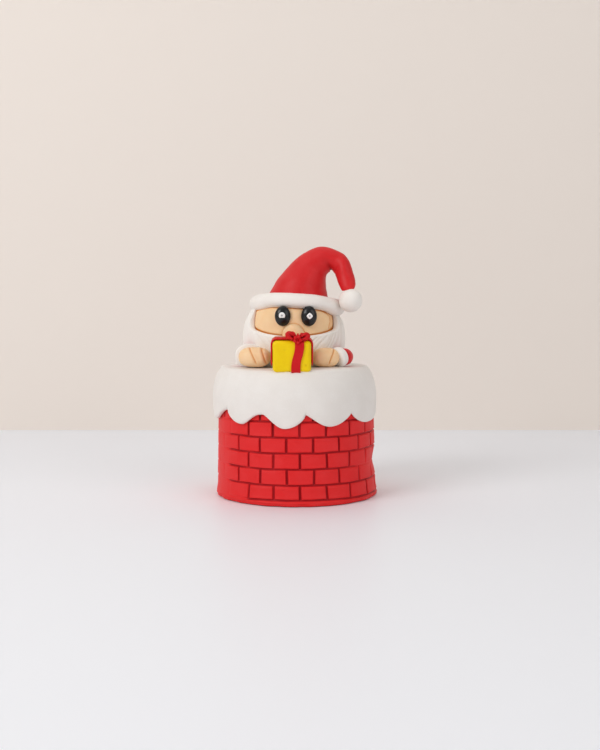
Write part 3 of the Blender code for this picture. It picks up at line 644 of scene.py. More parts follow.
def make_cap(material):
    """Rolled white paste draped over the top: soft over the shoulder, hanging a little away
    from the wall, pinched in above each notch, with a rounded cut edge."""
    lobes = cap_lobes()
    columns = len(lobes) * LOBE_STEPS
    top_rows = len(CAP_INNER_RINGS)
    shoulder_rows = (len(CAP_OUTSIDE) - 1) * CAP_SHOULDER_STEPS + 1

    def edge(column):
        """The cut edge at a column: its bearing and height, how far into its lobe it lies, from
        0 at a notch to 1, and how deep the cap is pinched in there."""
        number, step = divmod(column, LOBE_STEPS)
        start, notch, low, lowest_at, falling, rising = lobes[number]
        after = lobes[(number + 1) % len(lobes)]
        part = (step + 0.5 * sin(tau * step / LOBE_STEPS)) / LOBE_STEPS
        turned = part ** (log(0.5) / log(lowest_at))
        top = notch + (after[1] - notch) * part
        drop = sin(pi * turned) ** (falling if turned < 0.5 else rising)
        bearing = start + ((after[0] - start) % 360) * part
        pinch = CAP_PINCHES.get(number if part < 0.5 else number + 1, CAP_PINCH)
        return bearing, top - (top - low) * drop, sin(pi * turned), pinch

    def hang(bearing, height, hung, above, pinch):
        """The skirt's outside radius: full in each lobe and pinched above each notch."""
        tucked = min(max(0.0, CAP_TUCK_START - height) / CAP_TUCK_RANGE, 1.0)
        radius = CAP_SKIRT_RADIUS - CAP_TUCK * tucked**2
        around = at_bearing(bearing, radius, height)
        radius += 0.35 * (hung - 0.5) * bump(above, 9.0)
        radius -= pinch * max(0.0, 1 - hung / 0.25) ** 2 * bump(above, 1.2 + pinch)
        return radius + 0.22 * lumps(around, 22.0, 4.0) + 0.05 * lumps(around, 5.0, 6.0)

    def place(column, row):
        bearing, low, hung, pinch = edge(column)
        if row < top_rows:
            radius = CAP_INNER_RINGS[row]
            height = CAP_OUTSIDE[0][1] + 0.1 * lumps(at_bearing(bearing, radius, 0), 12.0)
            return at_bearing(bearing, radius, height, CAP_CENTRE), 0.0
        row -= top_rows
        if row < shoulder_rows:
            radius, height = catmull(CAP_OUTSIDE, row / CAP_SHOULDER_STEPS)
            share = smooth_step(0, shoulder_rows, row)
            around = at_bearing(bearing, radius, height)
            radius += 0.3 * lumps(around, 24.0, 1.0) * (0.4 + share)
            hanging = hang(bearing, height, hung, height - low, pinch)
            radius += (hanging - radius) * smooth_step(95, 88, height)
            height += 0.9 * smooth_step(109, 112.5, height) * smooth_step(30, 80, (-bearing) % 360)
            return at_bearing(bearing, radius, height, CAP_CENTRE), 0.0
        row -= shoulder_rows
        start = CAP_OUTSIDE[-1][1]
        if row < CAP_SKIRT_ROWS:
            share = (row + 1) / CAP_SKIRT_ROWS
            share = 1 - (1 - share) ** 1.25
            height = start + (low + CAP_LIP - start) * share
            radius = hang(bearing, height, hung, height - low, pinch)
            return at_bearing(bearing, radius, height, CAP_CENTRE), 0.0
        row -= CAP_SKIRT_ROWS
        inner = wall_point(bearing, low + CAP_LIP, -CAP_OFF_WALL)
        if row < CAP_LIP_ROWS:
            turn = pi * (row + 1) / (CAP_LIP_ROWS + 1)
            outer = at_bearing(bearing, hang(bearing, low, hung, 0.0, pinch), low, CAP_CENTRE)
            share = (1 - cos(turn)) / 2
            place_at = outer.lerp(Vector((inner.x, inner.y, low)), share)
            place_at.z = low + CAP_LIP * (1 - sin(turn) ** 0.7)
            # Painted shade on the lip as it turns under towards the wall
            return place_at, 0.25 * share
        row -= CAP_LIP_ROWS
        if row < CAP_INNER_ROWS:
            height = low + CAP_LIP + (SHOULDER_HEIGHT - low - CAP_LIP) * row / (CAP_INNER_ROWS - 1)
            return wall_point(bearing, height, -CAP_OFF_WALL), 0.0
        centre = (WALL_LEAN * CAKE_TOP, 0)
        return at_bearing(bearing, CAKE_TOP_RADIUS, CAKE_TOP + CAP_OFF_WALL, centre), 0.0

    rows = top_rows + shoulder_rows + CAP_SKIRT_ROWS + CAP_LIP_ROWS + CAP_INNER_ROWS + 1
    finished("snow_cap_paste", wrapped(columns, rows, place), material, ["snow_cap"])


def slice_flat(bm, height, keep_above):
    """Cuts a closed mesh level at a height and closes it with a flat face."""
    found = bmesh.ops.bisect_plane(
        bm,
        geom=bm.verts[:] + bm.edges[:] + bm.faces[:],
        plane_co=(0, 0, height),
        plane_no=(0, 0, 1),
        clear_inner=keep_above,
        clear_outer=not keep_above,
    )
    rim = [item for item in found["geom_cut"] if isinstance(item, bmesh.types.BMEdge)]
    bmesh.ops.contextual_create(bm, geom=rim)


def head_radius(bearing, height):
    """How far the skin lies from the head's axis."""
    up = min(abs(height - HEAD_CENTRE.z) / HEAD_SIZE.z, 0.999)
    across = (1 - up**HEAD_POWER) ** (1 / HEAD_POWER)
    angle = radians(bearing)
    return across / hypot(sin(angle) / HEAD_SIZE.x, cos(angle) / HEAD_SIZE.y)


def face_edge(bearing):
    """How high the beard's edge stands round the face, and how far on it is to the temple."""
    side = (front_bearing(bearing) - FACE_MIDDLE) / FACE_HALF_ANGLE
    beyond = abs(side) - 1
    if beyond > 0:
        corner = FACE_LOW + FACE_CORNER_RISE + FACE_CORNER_ROUND
        return corner + 8.4 * min(beyond / 0.03, 1.0) ** 0.5, 0.0
    low = FACE_LOW + FACE_CORNER_RISE * side**2 + FACE_CORNER_ROUND * abs(side) ** FACE_CORNER_POWER
    return low, -beyond * radians(FACE_HALF_ANGLE) * HEAD_SIZE.x


def brim_lift(bearing):
    """How much the brim is pushed up in front, where it arches over the face."""
    return BRIM_ARCH * window(bearing, -90.0, -32.0, 12.0, 80.0) - BRIM_DROP


def brim_squash(bearing):
    """How much flatter the brim is underneath in front, where it was pressed on the head."""
    return BRIM_SQUASH * window(bearing, -58.0, -26.0, 34.0, 62.0)


def make_face(skin):
    """The skin ball, smooth with low hand lumps. It turns in to a fine gap all round under the
    brim and beard and round the nose, with painted shade in that gap, and a fold by the right
    temple steps down, with painted shade in its crease."""
    bm = ball(300, 150, HEAD_POWER)
    pressed = bm.verts.layers.float[PAINTED_SHADE]
    bmesh.ops.scale(bm, vec=HEAD_SIZE, verts=bm.verts)
    for vert in bm.verts:
        bearing = degrees(atan2(vert.co.x, -vert.co.y))
        height = vert.co.z + HEAD_CENTRE.z
        low, aside = face_edge(bearing)
        under_brim = BRIM_CENTRE.z + brim_lift(bearing) - 6.6 * (1 - brim_squash(bearing))
        tilt = sin(radians(BRIM_TILT))
        under_brim -= BRIM_RADIUS * sin(radians(bearing)) * tilt
        gap = smooth_step(1.7, 0.3, min(height - low, under_brim - height))
        gap = max(gap, smooth_step(2.4, 0.9, aside))
        fold = TEMPLE_FOLD - 13.0 * smooth_step(156.5, 162.5, height)
        fold -= 3.0 * smooth_step(153.0, 148.0, height)
        away = radians(bearing - fold) * HEAD_SIZE.x
        along = smooth_step(144.0, 148.0, height)
        crease = groove(away, 1.2, 1.0, 3) * along * (bearing > 0)
        step = 0.7 * smooth_step(0.0, 0.8, away) * along * (bearing > 0)
        from_nose = (vert.co + HEAD_CENTRE - NOSE_CENTRE) / 1.03
        nose_gap = hypot(from_nose.x / NOSE_SIZE.x, from_nose.z / NOSE_SIZE.z)
        ring = bump(nose_gap - 0.97, 0.07) * (vert.co.y < 0)
        inward = crease + step + 1.0 * gap**2 + 0.35 * ring
        inward += 0.12 * lumps(vert.co, 11.0) + 0.04 * lumps(vert.co, 3.5, 2.0)
        # Painted shade in the gaps under brim and beard, round the nose and in the temple crease
        vert[pressed] = max(gap, crease, 0.4 * step, 0.7 * ring)
        flat = Vector((vert.co.x, vert.co.y, 0)).normalized()
        vert.co -= flat * inward
    slice_flat(bm, HEAD_FOOT - HEAD_CENTRE.z, keep_above=True)
    slice_flat(bm, HEAD_CUT - HEAD_CENTRE.z, keep_above=False)
    finished("face_skin", bm, skin, ["head"], placed(HEAD_CENTRE))


def rolled_ball(name, material, slot, node, centre, size, parts, bumps, under=1.0):
    """A ball of paste rolled between the palms: not quite round, and flatter underneath where
    under is less than 1."""
    bm = ball(*parts)
    for vert in bm.verts:
        vert.co *= sum((share * lumps(vert.co, wide, seed) for share, wide, seed in bumps), 1)
        vert.co.z *= under if vert.co.z < 0 else 1.0
    bmesh.ops.scale(bm, vec=size, verts=bm.verts)
    finished(name, bm, material, [node], placed(centre))


def beard_strands(rng):
    """The comb lines: (place, width, depth, lowest, highest), placed round from the chin."""
    strands = []
    line = COMB_FROM
    while line < COMB_TO:
        width, depth = rng.uniform(0.7, 1.4), rng.choice((0.15, 0.25, 0.45, 0.6))
        lowest, highest = rng.uniform(100.0, 128.0), rng.uniform(146.0, 176.0)
        strands.append((line, width, depth, lowest, highest))
        line += rng.uniform(2.4, 6.4)
    return strands


def comb_line(bearing, height):
    """Which comb line passes a place: the bearing that the line has at COMB_LEVEL."""
    rise = min(max(height - COMB_LEVEL, -26.0), 8.0)
    knots = [start + lean * rise for start, lean in COMB_LEAN]
    after = min(max(bisect.bisect_right(knots, bearing), 1), len(knots) - 1)
    share = (bearing - knots[after - 1]) / (knots[after] - knots[after - 1])
    return COMB_LEAN[after - 1][0] + share * (COMB_LEAN[after][0] - COMB_LEAN[after - 1][0])


def make_beard(material):
    """White paste wrapped round the head and combed with a pointed tool: the lines sweep from
    the temples down to the chin in front, and straight down as hair at the back. Its upper
    edge is a rounded lip round the face, which rises to a tip at each temple."""
    rng = random.Random(5)
    sides = {1: beard_strands(rng), -1: beard_strands(rng)}
    places = {side: [strand[0] for strand in strands] for side, strands in sides.items()}
    columns = 620
    outer_rows, lip_rows, inner_rows = 64, 10, 4
    centre = (BEARD_CENTRE.x, BEARD_CENTRE.y)

    def ellipse(bearing, height):
        up = (height - BEARD_CENTRE.z) / BEARD_SIZE.z
        angle = radians(bearing)
        round_it = hypot(sin(angle) / BEARD_SIZE.x, cos(angle) / BEARD_SIZE.y)
        beside = abs(front_bearing(bearing))
        tip = smooth_step(150.0, 164.0, height) * smooth_step(52.0, 66.0, beside)
        return sqrt(1 - up * up) / round_it - 1.9 * tip * smooth_step(140.0, 110.0, beside)

    def combed(bearing, height):
        seen = front_bearing(bearing) - FACE_MIDDLE
        side = 1 if seen >= 0 else -1
        flow = comb_line(abs(seen), height) + 2.0 * lumps((seen / 14, height / 16, side), 1.0)
        strands, found = sides[side], places[side]
        first = bisect.bisect_left(found, flow)
        deepest = 0.0
        for strand in strands[max(first - 2, 0) : first + 2]:
            line, width, depth, lowest, highest = strand
            away = radians(flow - line) * BEARD_SIZE.x * 0.75
            along = window(height, lowest, lowest + 8, highest - 8, highest)
            deepest = max(deepest, groove(away, width, depth, 2.5) * along)
        fine = 0.09 * lumps((flow * 1.1, height / 9, side), 1.0, 3.0)
        if side < 0 and seen > -110:
            deepest *= 0.45
        return deepest, fine

    def place(column, row):
        bearing = 180 + 360 * column / columns
        top = face_edge(bearing)[0]
        if row < outer_rows:
            share = row / (outer_rows - 1)
            height = HEAD_FOOT + (top - BEARD_LIP * 0.5 - HEAD_FOOT) * share
            deep, fine = combed(bearing, height)
            if abs(front_bearing(bearing)) < 56:
                deep *= smooth_step(0.0, 2.5, top - height)
            around = at_bearing(bearing, 44.0, height)
            radius = ellipse(bearing, height) - deep + fine + 0.35 * lumps(around, 17.0, 7.0)
            # Painted shade in the comb lines, by their depth
            return at_bearing(bearing, radius, height, centre), deep * 0.7
        row -= outer_rows
        outer_height = top - BEARD_LIP * 0.5
        inside = head_radius(bearing, outer_height) - BEARD_SUNK
        outside = ellipse(bearing, outer_height)
        if row < lip_rows:
            turn = pi * (row + 1) / (lip_rows + 1)
            share = (1 - cos(turn)) / 2
            radius = outside + (inside - outside) * share
            height = outer_height + BEARD_LIP * 0.5 * sin(turn) ** 0.8
            return at_bearing(bearing, radius, height, centre), 0.0
        row -= lip_rows
        share = row / (inner_rows - 1)
        height = outer_height + (HEAD_FOOT - outer_height) * share
        return at_bearing(bearing, head_radius(bearing, height) - BEARD_SUNK, height, centre), 0.0

    rows = outer_rows + lip_rows + inner_rows
    bm = wrapped(columns, rows, place, round_rows=True)
    finished("combed_beard", bm, material, ["beard"])


def make_eyes(black, white):
    """Black ovals pressed on the face, each with a white dab that a tool has dimpled."""
    for side, centre in EYE_CENTRE.items():
        name, node = f"eye_oval_{side}", f"eye_{side}"
        rolled_ball(name, black, "eye_black", node, centre, EYE_SIZE, (64, 40), EYE_BUMPS)

        bm = ball(40, 20, 2.6)
        for vert in bm.verts:
            across, up = vert.co.x, vert.co.y
            if side == "left":
                vert.co.y = max(up, -0.62) if up < 0 else up * 1.05
            else:
                diamond = max((abs(across) + abs(up)) / max(hypot(across, up), 0.01), 1.0)
                vert.co.x /= diamond**0.55
                vert.co.y /= diamond**0.55
            dimple = bump(hypot(across, up), 0.3)
            if vert.co.z > 0:
                vert.co.z *= 1 - 0.7 * dimple
                # The dimple gets painted shade, grey in the white dab
                vert[bm.verts.layers.float[PAINTED_SHADE]] = dimple
        facing_front(bm)
        bmesh.ops.scale(bm, vec=GLINT_SIZE, verts=bm.verts)
        matrix = placed(GLINT_CENTRE[side])
        finished(f"eye_dab_{side}", bm, white, [f"eye_glint_{side}"], matrix)


def make_brim(material):
    """A hand-rolled sausage of paste laid round the head, whose ends meet at the back."""
    columns, rows = 220, 56

    def place(column, row):
        bearing = 180 + 360 * column / columns
        angle = tau * row / rows
        around = at_bearing(bearing, BRIM_RADIUS, ROLL_RADIUS * sin(angle))
        seen = front_bearing(bearing)
        seam = 0.7 * bump(radians(seen - BRIM_SEAM) * BRIM_RADIUS, 1.1)
        roll = ROLL_RADIUS - 0.05 + 0.35 * lumps(around, 16.0, 2.0) + 0.07 * lumps(around, 4.0, 5.0)
        roll -= seam
        height = roll * sin(angle)
        if height < 0:
            height *= 1 - brim_squash(seen)
        radius = BRIM_RADIUS + roll * cos(angle)
        # The seam's groove carries painted shade
        return at_bearing(bearing, radius, height + brim_lift(seen)), seam

    bm = wrapped(columns, rows, place, round_rows=True)
    matrix = placed(BRIM_CENTRE, turn_y=BRIM_TILT)
    finished("brim_roll", bm, material, ["hat_brim"], matrix)


def make_hat(material):
    """A cone of red paste bent over by hand: a tight fold under the bend, soft wrinkles below
    it, and a tail with a flat pinched end."""
    rows = (len(HAT_OUTLINE) - 1) * HAT_STEPS + 1

    def place(column, row):
        along = row / HAT_STEPS
        outer_x, outer_z, inner_x, inner_z = catmull(HAT_OUTLINE, along)
        outer, inner = Vector((outer_x, 0, outer_z)), Vector((inner_x, 0, inner_z))
        bent = max(0.0, along / (len(HAT_OUTLINE) - 1) - HAT_BEND_START)
        forward = HAT_REACH * (bent / (1 - HAT_BEND_START)) ** HAT_REACH_CURVE
        angle = tau * column / HAT_SEGMENTS
        half = (outer - inner) / 2
        out = half.normalized() * cos(angle) + Vector((0, sin(angle), 0))
        middle = (outer + inner) / 2 + Vector((0, forward, 0))
        point = middle + out * half.length
        inner_share = (1 - cos(angle)) / 2
        fold = bump(along - HAT_FOLD[0], HAT_FOLD[1]) * inner_share**3
        beside = sum(bump(along - at, width) for at, width in HAT_BULGES)
        wrinkle = bump(along - HAT_WRINKLES[0], HAT_WRINKLES[1]) * bump(inner_share - 0.78, 0.16)
        inward = 0.7 * fold - 0.4 * beside * inner_share**3
        inward += wrinkle * (0.3 * lumps(point, 3.2, 6.0) + 0.12 * lumps(point, 1.6, 2.0))
        inward += 0.45 * lumps(point, 20.0, 3.0) + 0.1 * lumps(point, 6.0, 8.0)
        end = max(0.0, along - (len(HAT_OUTLINE) - 1.6))
        inward += 0.5 * end * lumps(point, 2.6, 1.0)
        if row == rows - 1:
            inward += 0.5
        inward *= 1 - smooth_step(2.0, 1.0, along)
        # Painted shade in the fold under the bend
        return point - out * inward, 0.55 * fold

    bm = wrapped(HAT_SEGMENTS, rows, place)
    finished("bent_hat", bm, material, ["hat"])


def make_hand(side, skin):
    """A soft fist with curved finger lines pressed from the knuckles down."""
    centre, half, turn = HAND[side]
    columns, rows = 84, 72

    def place(column, row):
        share = -cos(pi * (row + 0.25) / (rows - 0.5))
        x = share * half.x
        full = (1 - abs(share) ** HAND_POWER) ** (1 / HAND_POWER)
        angle = tau * column / columns
        y, z = half.y * full * cos(angle), half.z * full * sin(angle)
        pressed, puff = 0.0, 0.0
        up = z / half.z
        for top, middle, foot in FINGER_LINES[side]:
            line = middle + (top - foot) / 2 * up + (top + foot - 2 * middle) / 2 * up * up
            away = x - line
            front = smooth_step(0.5, -0.2, cos(angle)) * smooth_step(-0.85, -0.45, up)
            # The finger lines are grooves with painted shade in them
            pressed = max(pressed, groove(away, 0.95, 0.9, 3) * front)
            puff += 0.3 * bump(abs(away) - 2.0, 1.2) * front
        around = Vector((x, y, z))
        soft = 0.2 * lumps(around, 6.0, 2.0) + 0.04 * lumps(around, 1.5, 7.0)
        reach = 1 + (puff - pressed - soft) / half.y
        return Vector((x, y * reach, z * reach)), pressed

    bm = wrapped(columns, rows, place)
    finished(f"fist_{side}", bm, skin, [f"hand_{side}"], placed(centre, turn))


def make_cuff(side, material):
    """A thick ring of white paste round the wrist, with soft round edges."""
    centre, radius, turn = CUFF[side]
    spread, aside, length, shift = CUFF_SHAPE[side]
    columns, rows = 88, 40

    def place(column, row):
        share = -cos(pi * (row + 0.3) / (rows - 0.4))
        full = (1 - abs(share) ** 5) ** (1 / 3.0)
        angle = tau * column / columns
        across, up = cos(angle), sin(angle)
        around = Vector((share * 3, radius * across, radius * up))
        power = CUFF_FOOT_POWER[side] if up < 0 else 2.0
        square = (abs(across) ** power + abs(up) ** power) ** (-1 / power)
        wide = radius * full * square * (1 + 0.02 * lumps(around, 7.0, 1.0))
        x = share * CUFF_WIDTH / 2 * length + 0.25 * lumps(around, 6.0, 5.0) * full
        return Vector((x - shift, spread * wide * across - aside, wide * up)), 0.0

    bm = wrapped(columns, rows, place)
    matrix = placed(centre, turn, CUFF_LEAN[side])
    finished(f"cuff_ring_{side}", bm, material, [f"cuff_{side}"], matrix)


def make_sleeve(side, material):
    """A plump red stub behind the cuff that bends in against the beard."""
    cuff_centre, cuff_radius, first_turn = CUFF[side]
    last_turn, length = SLEEVE[side]
    radius = cuff_radius - SLEEVE_THINNER
    columns, rows = 64, 36
    turn = radians(first_turn)
    centre = cuff_centre + Vector((cos(turn), sin(turn), 0)) * (CUFF_WIDTH / 2 + FIT_GAP)
    sections = []
    middle = Vector(centre)
    for row in range(rows):
        share = sin(row / (rows - 1) * pi / 2 * 0.97)
        turn = radians(first_turn + (last_turn - first_turn) * share)
        along = Vector((cos(turn), sin(turn), 0))
        if sections:
            middle = middle + along * length * (share - sections[-1][0])
        sections.append((share, middle, Vector((-along.y, along.x, 0))))

    def place(column, row):
        share, middle, sideways = sections[row]
        angle = tau * column / columns
        around = radius * sqrt(max(0.0, 1 - share**4))
        out = sideways * cos(angle) + Vector((0, 0, sin(angle)))
        point = middle + out * around
        around -= 0.25 * lumps(point, 6.0, 3.0) * min(1.0, row / 4)
        return middle + out * around, 0.0

    bm = wrapped(columns, rows, place)
    upright = placed(cuff_centre, first_turn)
    matrix = placed(cuff_centre, first_turn, ARM_RISE[side]) @ upright.inverted()
    finished(f"sleeve_stub_{side}", bm, material, [f"sleeve_{side}"], matrix)


PRESENT = Matrix.Translation(PRESENT_PLACE) @ Matrix.Rotation(radians(PRESENT_LEAN), 4, "X")


def strip(path, width, thickness, columns=28, curl=0.0):
    """A strip of paste laid along a path of (point, outward, sideways), with soft edges that
    lift by curl."""

    def place(column, row):
        point, outward, sideways = path[row]
        angle = tau * column / columns
        across = copysign(abs(cos(angle)) ** 0.35, cos(angle))
        up = copysign(abs(sin(angle)) ** 0.7, sin(angle))
        end = min(1.0, 0.35 + min(row, len(path) - 1 - row) * 0.4)
        lift = curl * abs(across) ** 3
        soft = 0.1 * lumps(point + sideways * across * width / 2, 2.4, 3.0)
        raised = thickness / 2 * (1 + up * end) + lift + soft
        return point + sideways * across * width / 2 + outward * raised, 0.0

    return wrapped(columns, len(path), place)


def make_box(yellow):
    """The block of yellow paste: soft rounded edges, slightly puffed faces with small dents."""
    bm = bmesh.new()
    bm.verts.layers.float.new(PAINTED_SHADE)
    bmesh.ops.create_cube(bm, size=1.0)
    bmesh.ops.subdivide_edges(bm, edges=bm.edges[:], cuts=31, use_grid_fill=True)
    pressed = bm.verts.layers.float[PAINTED_SHADE]
    half = BOX_SIZE / 2
    for vert in bm.verts:
        point = Vector(vert.co[axis] * BOX_SIZE[axis] for axis in range(3))
        core = Vector(
            max(min(point[axis], half[axis] - BOX_ROUNDING), BOX_ROUNDING - half[axis])
            for axis in range(3)
        )
        out = point - core
        if out.length > 0:
            out.normalize()
        point = core + out * BOX_ROUNDING
        puff = 0.25 * (1 - (point.x / half.x) ** 2) * (1 - (point.z / half.z) ** 2)
        puff += 0.18 * lumps(point, 8.0, 4.0) + 0.05 * lumps(point, 2.2, 6.0)
        point += out * puff
        point.z += half.z
        for x, y, z, depth in BOX_DENTS:
            close = bump((point - Vector((x, y, z))).length, 0.8)
            point -= out * depth * close
            # Painted shade in the dents
            vert[pressed] += close * depth
        vert.co = point
    bmesh.ops.recalc_face_normals(bm, faces=bm.faces)
    finished("gift_block", bm, yellow, ["gift_box"], PRESENT)


def make_band(red):
    """The ribbon that goes up one side, over the top and down the other, thicker on top."""
    half = BOX_SIZE.x / 2 + 0.1
    top = BOX_SIZE.z + 0.1
    corner = BOX_ROUNDING
    side_rows, corner_rows, top_rows = 14, 9, 22
    outline = []
    for row in range(side_rows):
        height = BAND_END + (top - corner - BAND_END) * row / side_rows
        outline.append((Vector((-half, BAND_MIDDLE, height)), Vector((-1, 0, 0))))
    for row in range(corner_rows):
        angle = pi / 2 * row / (corner_rows - 1)
        out = Vector((-cos(angle), 0, sin(angle)))
        middle = Vector((corner - half, BAND_MIDDLE, top - corner))
        outline.append((middle + out * corner, out))
    for row in range(1, top_rows):
        point = Vector(((corner - half) * (1 - row / top_rows), BAND_MIDDLE, top))
        outline.append((point, Vector((0, 0, 1))))
    mirrored = [(Vector((-p.x, p.y, p.z)), Vector((-o.x, o.y, o.z))) for p, o in reversed(outline)]
    path = []
    for point, out in outline + [(Vector((0, BAND_MIDDLE, top)), Vector((0, 0, 1)))] + mirrored:
        raised = BAND_TOP_EXTRA * smooth_step(0.3, 1.0, out.z) * smooth_step(6.0, -4.0, point.x)
        path.append((point + out * raised * 0.5, out, Vector((0, 1, 0))))
    bm = strip(path, BAND_WIDTH, BAND_THICKNESS + 0.3)
    finished("ribbon_band", bm, red, ["gift_band"], PRESENT)


def make_front_ribbon(red):
    """The ribbon down the front, drawn a little to the left at its foot, edges turned up."""
    rows = 44
    path = []
    for row in range(rows):
        share = row / (rows - 1)
        sway = RIBBON_SWAY * sin(tau * share * 0.9 + 0.4)
        x = RIBBON_TOP - RIBBON_DRIFT * share + sway
        z = BOX_SIZE.z - 0.6 + (0.3 - BOX_SIZE.z + 0.6) * share
        ease = max(0.0, (BOX_ROUNDING - min(z, BOX_SIZE.z - z)) / BOX_ROUNDING)
        y = -BOX_SIZE.y / 2 - 0.05 + 1.3 * ease**2
        out = Vector((0, -1, 0.9 * ease * (1 if z > BOX_SIZE.z / 2 else -1))).normalized()
        path.append((Vector((x, y, z)), out, Vector((1, 0, 0))))
    bm = strip(path, RIBBON_WIDTH, RIBBON_THICKNESS, columns=36, curl=0.35)
    finished("ribbon_front", bm, red, ["gift_ribbon"], PRESENT)


def make_bow(red):
    """Two pleated loops of thin paste pinched at the middle, and a ruffled knot with a heart and
    a small tip that stands up from it."""
    for side, centre in LOOP_PLACE.items():
        inward = 1 if side == "left" else -1
        bm = ball(64, 40, 2.2)
        pressed = bm.verts.layers.float[PAINTED_SHADE]
        for vert in bm.verts:
            across, up, front = vert.co.x, vert.co.y, vert.co.z
            toward = across * inward
            spread = atan2(up, 1.5 - toward)
            pleat = cos(spread * 13.0 + 0.6 * inward)
            fading = smooth_step(-1.0, 0.3, toward)
            inward_by = 0.24 * fading * max(0.0, pleat) + 0.06 * lumps(vert.co, 0.5, 2.0)
            pinch = 1 - 0.45 * smooth_step(0.2, 1.0, toward)
            vert.co.y *= pinch
            if front > 0:
                slit = up + 0.35 * (toward - 0.4)
                hollow = exp(-(((toward - 0.2) / 0.7) ** 2 + (slit / 0.16) ** 2))
                vert.co.z *= 1 - 0.5 * hollow
                # Painted shade in the loop's hollow and between its pleats
                vert[pressed] = 0.7 * hollow + 0.3 * fading * max(0.0, pleat)
            vert.co -= vert.co.normalized() * inward_by
        facing_front(bm)
        bmesh.ops.scale(bm, vec=LOOP_SIZE, verts=bm.verts)
        matrix = PRESENT @ placed(centre, turn_y=-LOOP_TURN[side])
        finished(f"bow_fold_{side}", bm, red, [f"bow_loop_{side}"], matrix)

    columns, rows = 100, 28
    petals = 5

    def place(column, row):
        angle = tau * column / columns
        turn = tau * row / rows
        ruffle = cos(petals * angle + 0.8)
        ring = 2.3 + 0.25 * ruffle
        thick = 1.35 + 0.3 * ruffle
        radius = ring + thick * cos(turn)
        depth = 1.7 * sin(turn) - 0.4 * ruffle
        point = Vector((radius * cos(angle), depth, 0.92 * radius * sin(angle)))
        # Painted shade in the valleys between the petals
        pressed = 0.5 * max(0.0, -ruffle) * smooth_step(0.2, -0.6, cos(turn))
        return point * (1 + 0.05 * lumps(point, 1.4)), pressed

    bm = wrapped(columns, rows, place, round_rows=True)
    heart = bmesh.ops.create_uvsphere(bm, u_segments=24, v_segments=12, radius=1.5)
    bmesh.ops.scale(bm, vec=(1, 0.7, 1), verts=heart["verts"])
    bmesh.ops.translate(bm, vec=(0, 0.7, 0), verts=heart["verts"])
    tip = bmesh.ops.create_cone(bm, cap_ends=True, segments=20, radius1=1.4, radius2=0.6, depth=3.4)
    bmesh.ops.translate(bm, vec=(0.2, 0.7, 3.4), verts=tip["verts"])
    finished("bow_rosette", bm, red, ["bow_knot"], PRESENT @ placed(KNOT_PLACE))


def stage_and_light():
    """A plain pale table and wall, and soft window light from the left front."""
    for name, code, roughness in (("table", "f4f7fd", 0.45), ("wall_behind", "efe5dc", 0.9)):
        bm = bmesh.new()
        bmesh.ops.create_grid(bm, x_segments=1, y_segments=1, size=4.0)
        if name == "wall_behind":
            facing_front(bm)
            bmesh.ops.translate(bm, vec=(0, WALL_BEHIND * MM, 0), verts=bm.verts)
        surface = bpy.data.materials.new(f"plain {name}")
        surface.use_nodes = True
        shader = surface.node_tree.nodes["Principled BSDF"]
        shader.inputs["Base Color"].default_value = colour(code)
        shader.inputs["Roughness"].default_value = roughness
        meshed(name, bm, surface)

    for name, place, size, power in (
        ("window", (-1.2, -1.15, 1.1), 0.9, 15.6),
        ("fill", (1.2, -1.25, 0.9), 1.2, 7.4),
        ("ceiling", (-0.2, 0.1, 1.6), 1.4, 4.0),
    ):
        light = bpy.data.lights.new(name, "AREA")
        light.energy = power
        light.size = size
        made = in_scene(name, light)
        made.location = place
        aim = Vector((0, 0, 0.1)) - Vector(place)
        made.rotation_euler = aim.to_track_quat("-Z", "Y").to_euler()

    world = bpy.data.worlds.new("room light")
    world.use_nodes = True
    background = world.node_tree.nodes["Background"]
    background.inputs["Color"].default_value = colour("f4f2f0")
    background.inputs["Strength"].default_value = 0.38
    bpy.context.scene.world = world
    bpy.context.scene.view_settings.view_transform = "Standard"


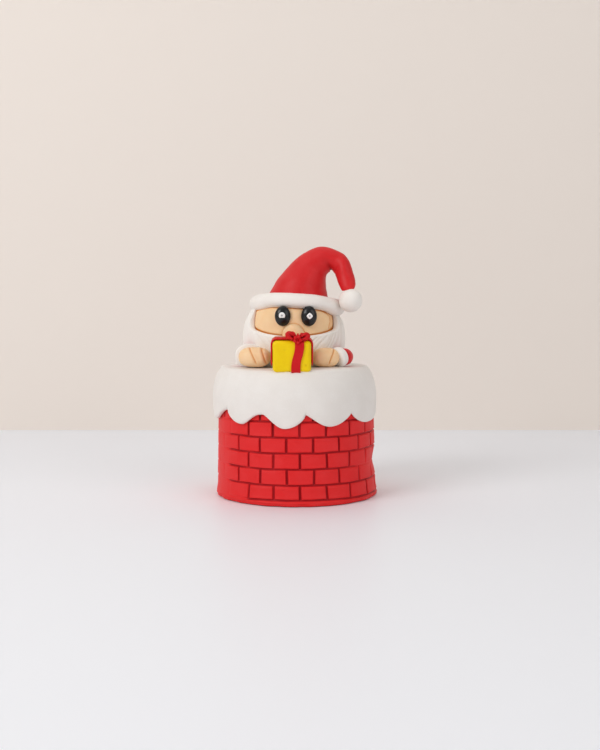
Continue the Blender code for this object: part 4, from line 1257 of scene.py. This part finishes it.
def make_camera():
    """The photograph's view: its lens, height and slight downward tilt."""
    data = bpy.data.cameras.new("camera")
    data.sensor_width = SENSOR
    data.lens = FOCAL_PIXELS / FRAME_HEIGHT * SENSOR
    data.clip_start = 0.01
    camera = in_scene("camera", data)
    camera.location = CAMERA_PLACE * MM
    camera.rotation_euler = (radians(90 - CAMERA_PITCH), 0, 0)
    bpy.context.scene.camera = camera


def main():
    # The third colour of each paste is painted shade, for grooves, creases, gaps, folds and hollows
    brick_red = sugar_paste("rolled red wall paste", "e22526", "e53133", "a80d18", 0.5, 14.0)
    hat_red = sugar_paste("modelled red hat paste", "d32326", "db3133", "860c12", 0.46, 12.0)
    ribbon_red = sugar_paste("thin red ribbon paste", "cc0d15", "d51a20", "7c060c", 0.4, 5.0)
    snow = sugar_paste("rolled snow white paste", "ebe5df", "f1ece7", "d8c8b4", 0.58, 18.0)
    flecked(snow, 26.0, 0.6, "8a7460")
    trim = sugar_paste("rolled trim white paste", "f1eae3", "f5efe9", "d8c4b0", 0.56, 10.0)
    beard = sugar_paste("combed beard white paste", "f3ede6", "f8f3ed", "d6c8b8", 0.58, 10.0)
    skin = sugar_paste("skin tone modelling paste", "f7cfa0", "fad7ad", "dc8a38", 0.5, 10.0, glow=0.2)
    yellow = sugar_paste("modelled yellow paste", "f4ce00", "f8d600", "b09000", 0.48, 6.0)
    dab_white = sugar_paste("bright white dab paste", "fbf9f6", "ffffff", "77777a", 0.45, 3.0)
    black = black_gloss_paste()

    make_camera()
    make_wall(brick_red)
    make_cap(snow)
    make_face(skin)
    shape = (NOSE_CENTRE, NOSE_SIZE, (56, 36), NOSE_BUMPS, NOSE_UNDER)
    rolled_ball("nose_ball", skin, "skin", "nose", *shape)
    make_beard(beard)
    make_eyes(black, dab_white)
    make_brim(trim)
    make_hat(hat_red)
    shape = (POMPOM_CENTRE, POMPOM_SIZE, (80, 48), POMPOM_BUMPS)
    rolled_ball("pompom_ball", trim, "trim_white", "pompom", *shape)
    for side in ("left", "right"):
        make_hand(side, skin)
        make_cuff(side, trim)
        make_sleeve(side, hat_red)
    make_box(yellow)
    make_band(ribbon_red)
    make_front_ribbon(ribbon_red)
    make_bow(ribbon_red)
    stage_and_light()


main()
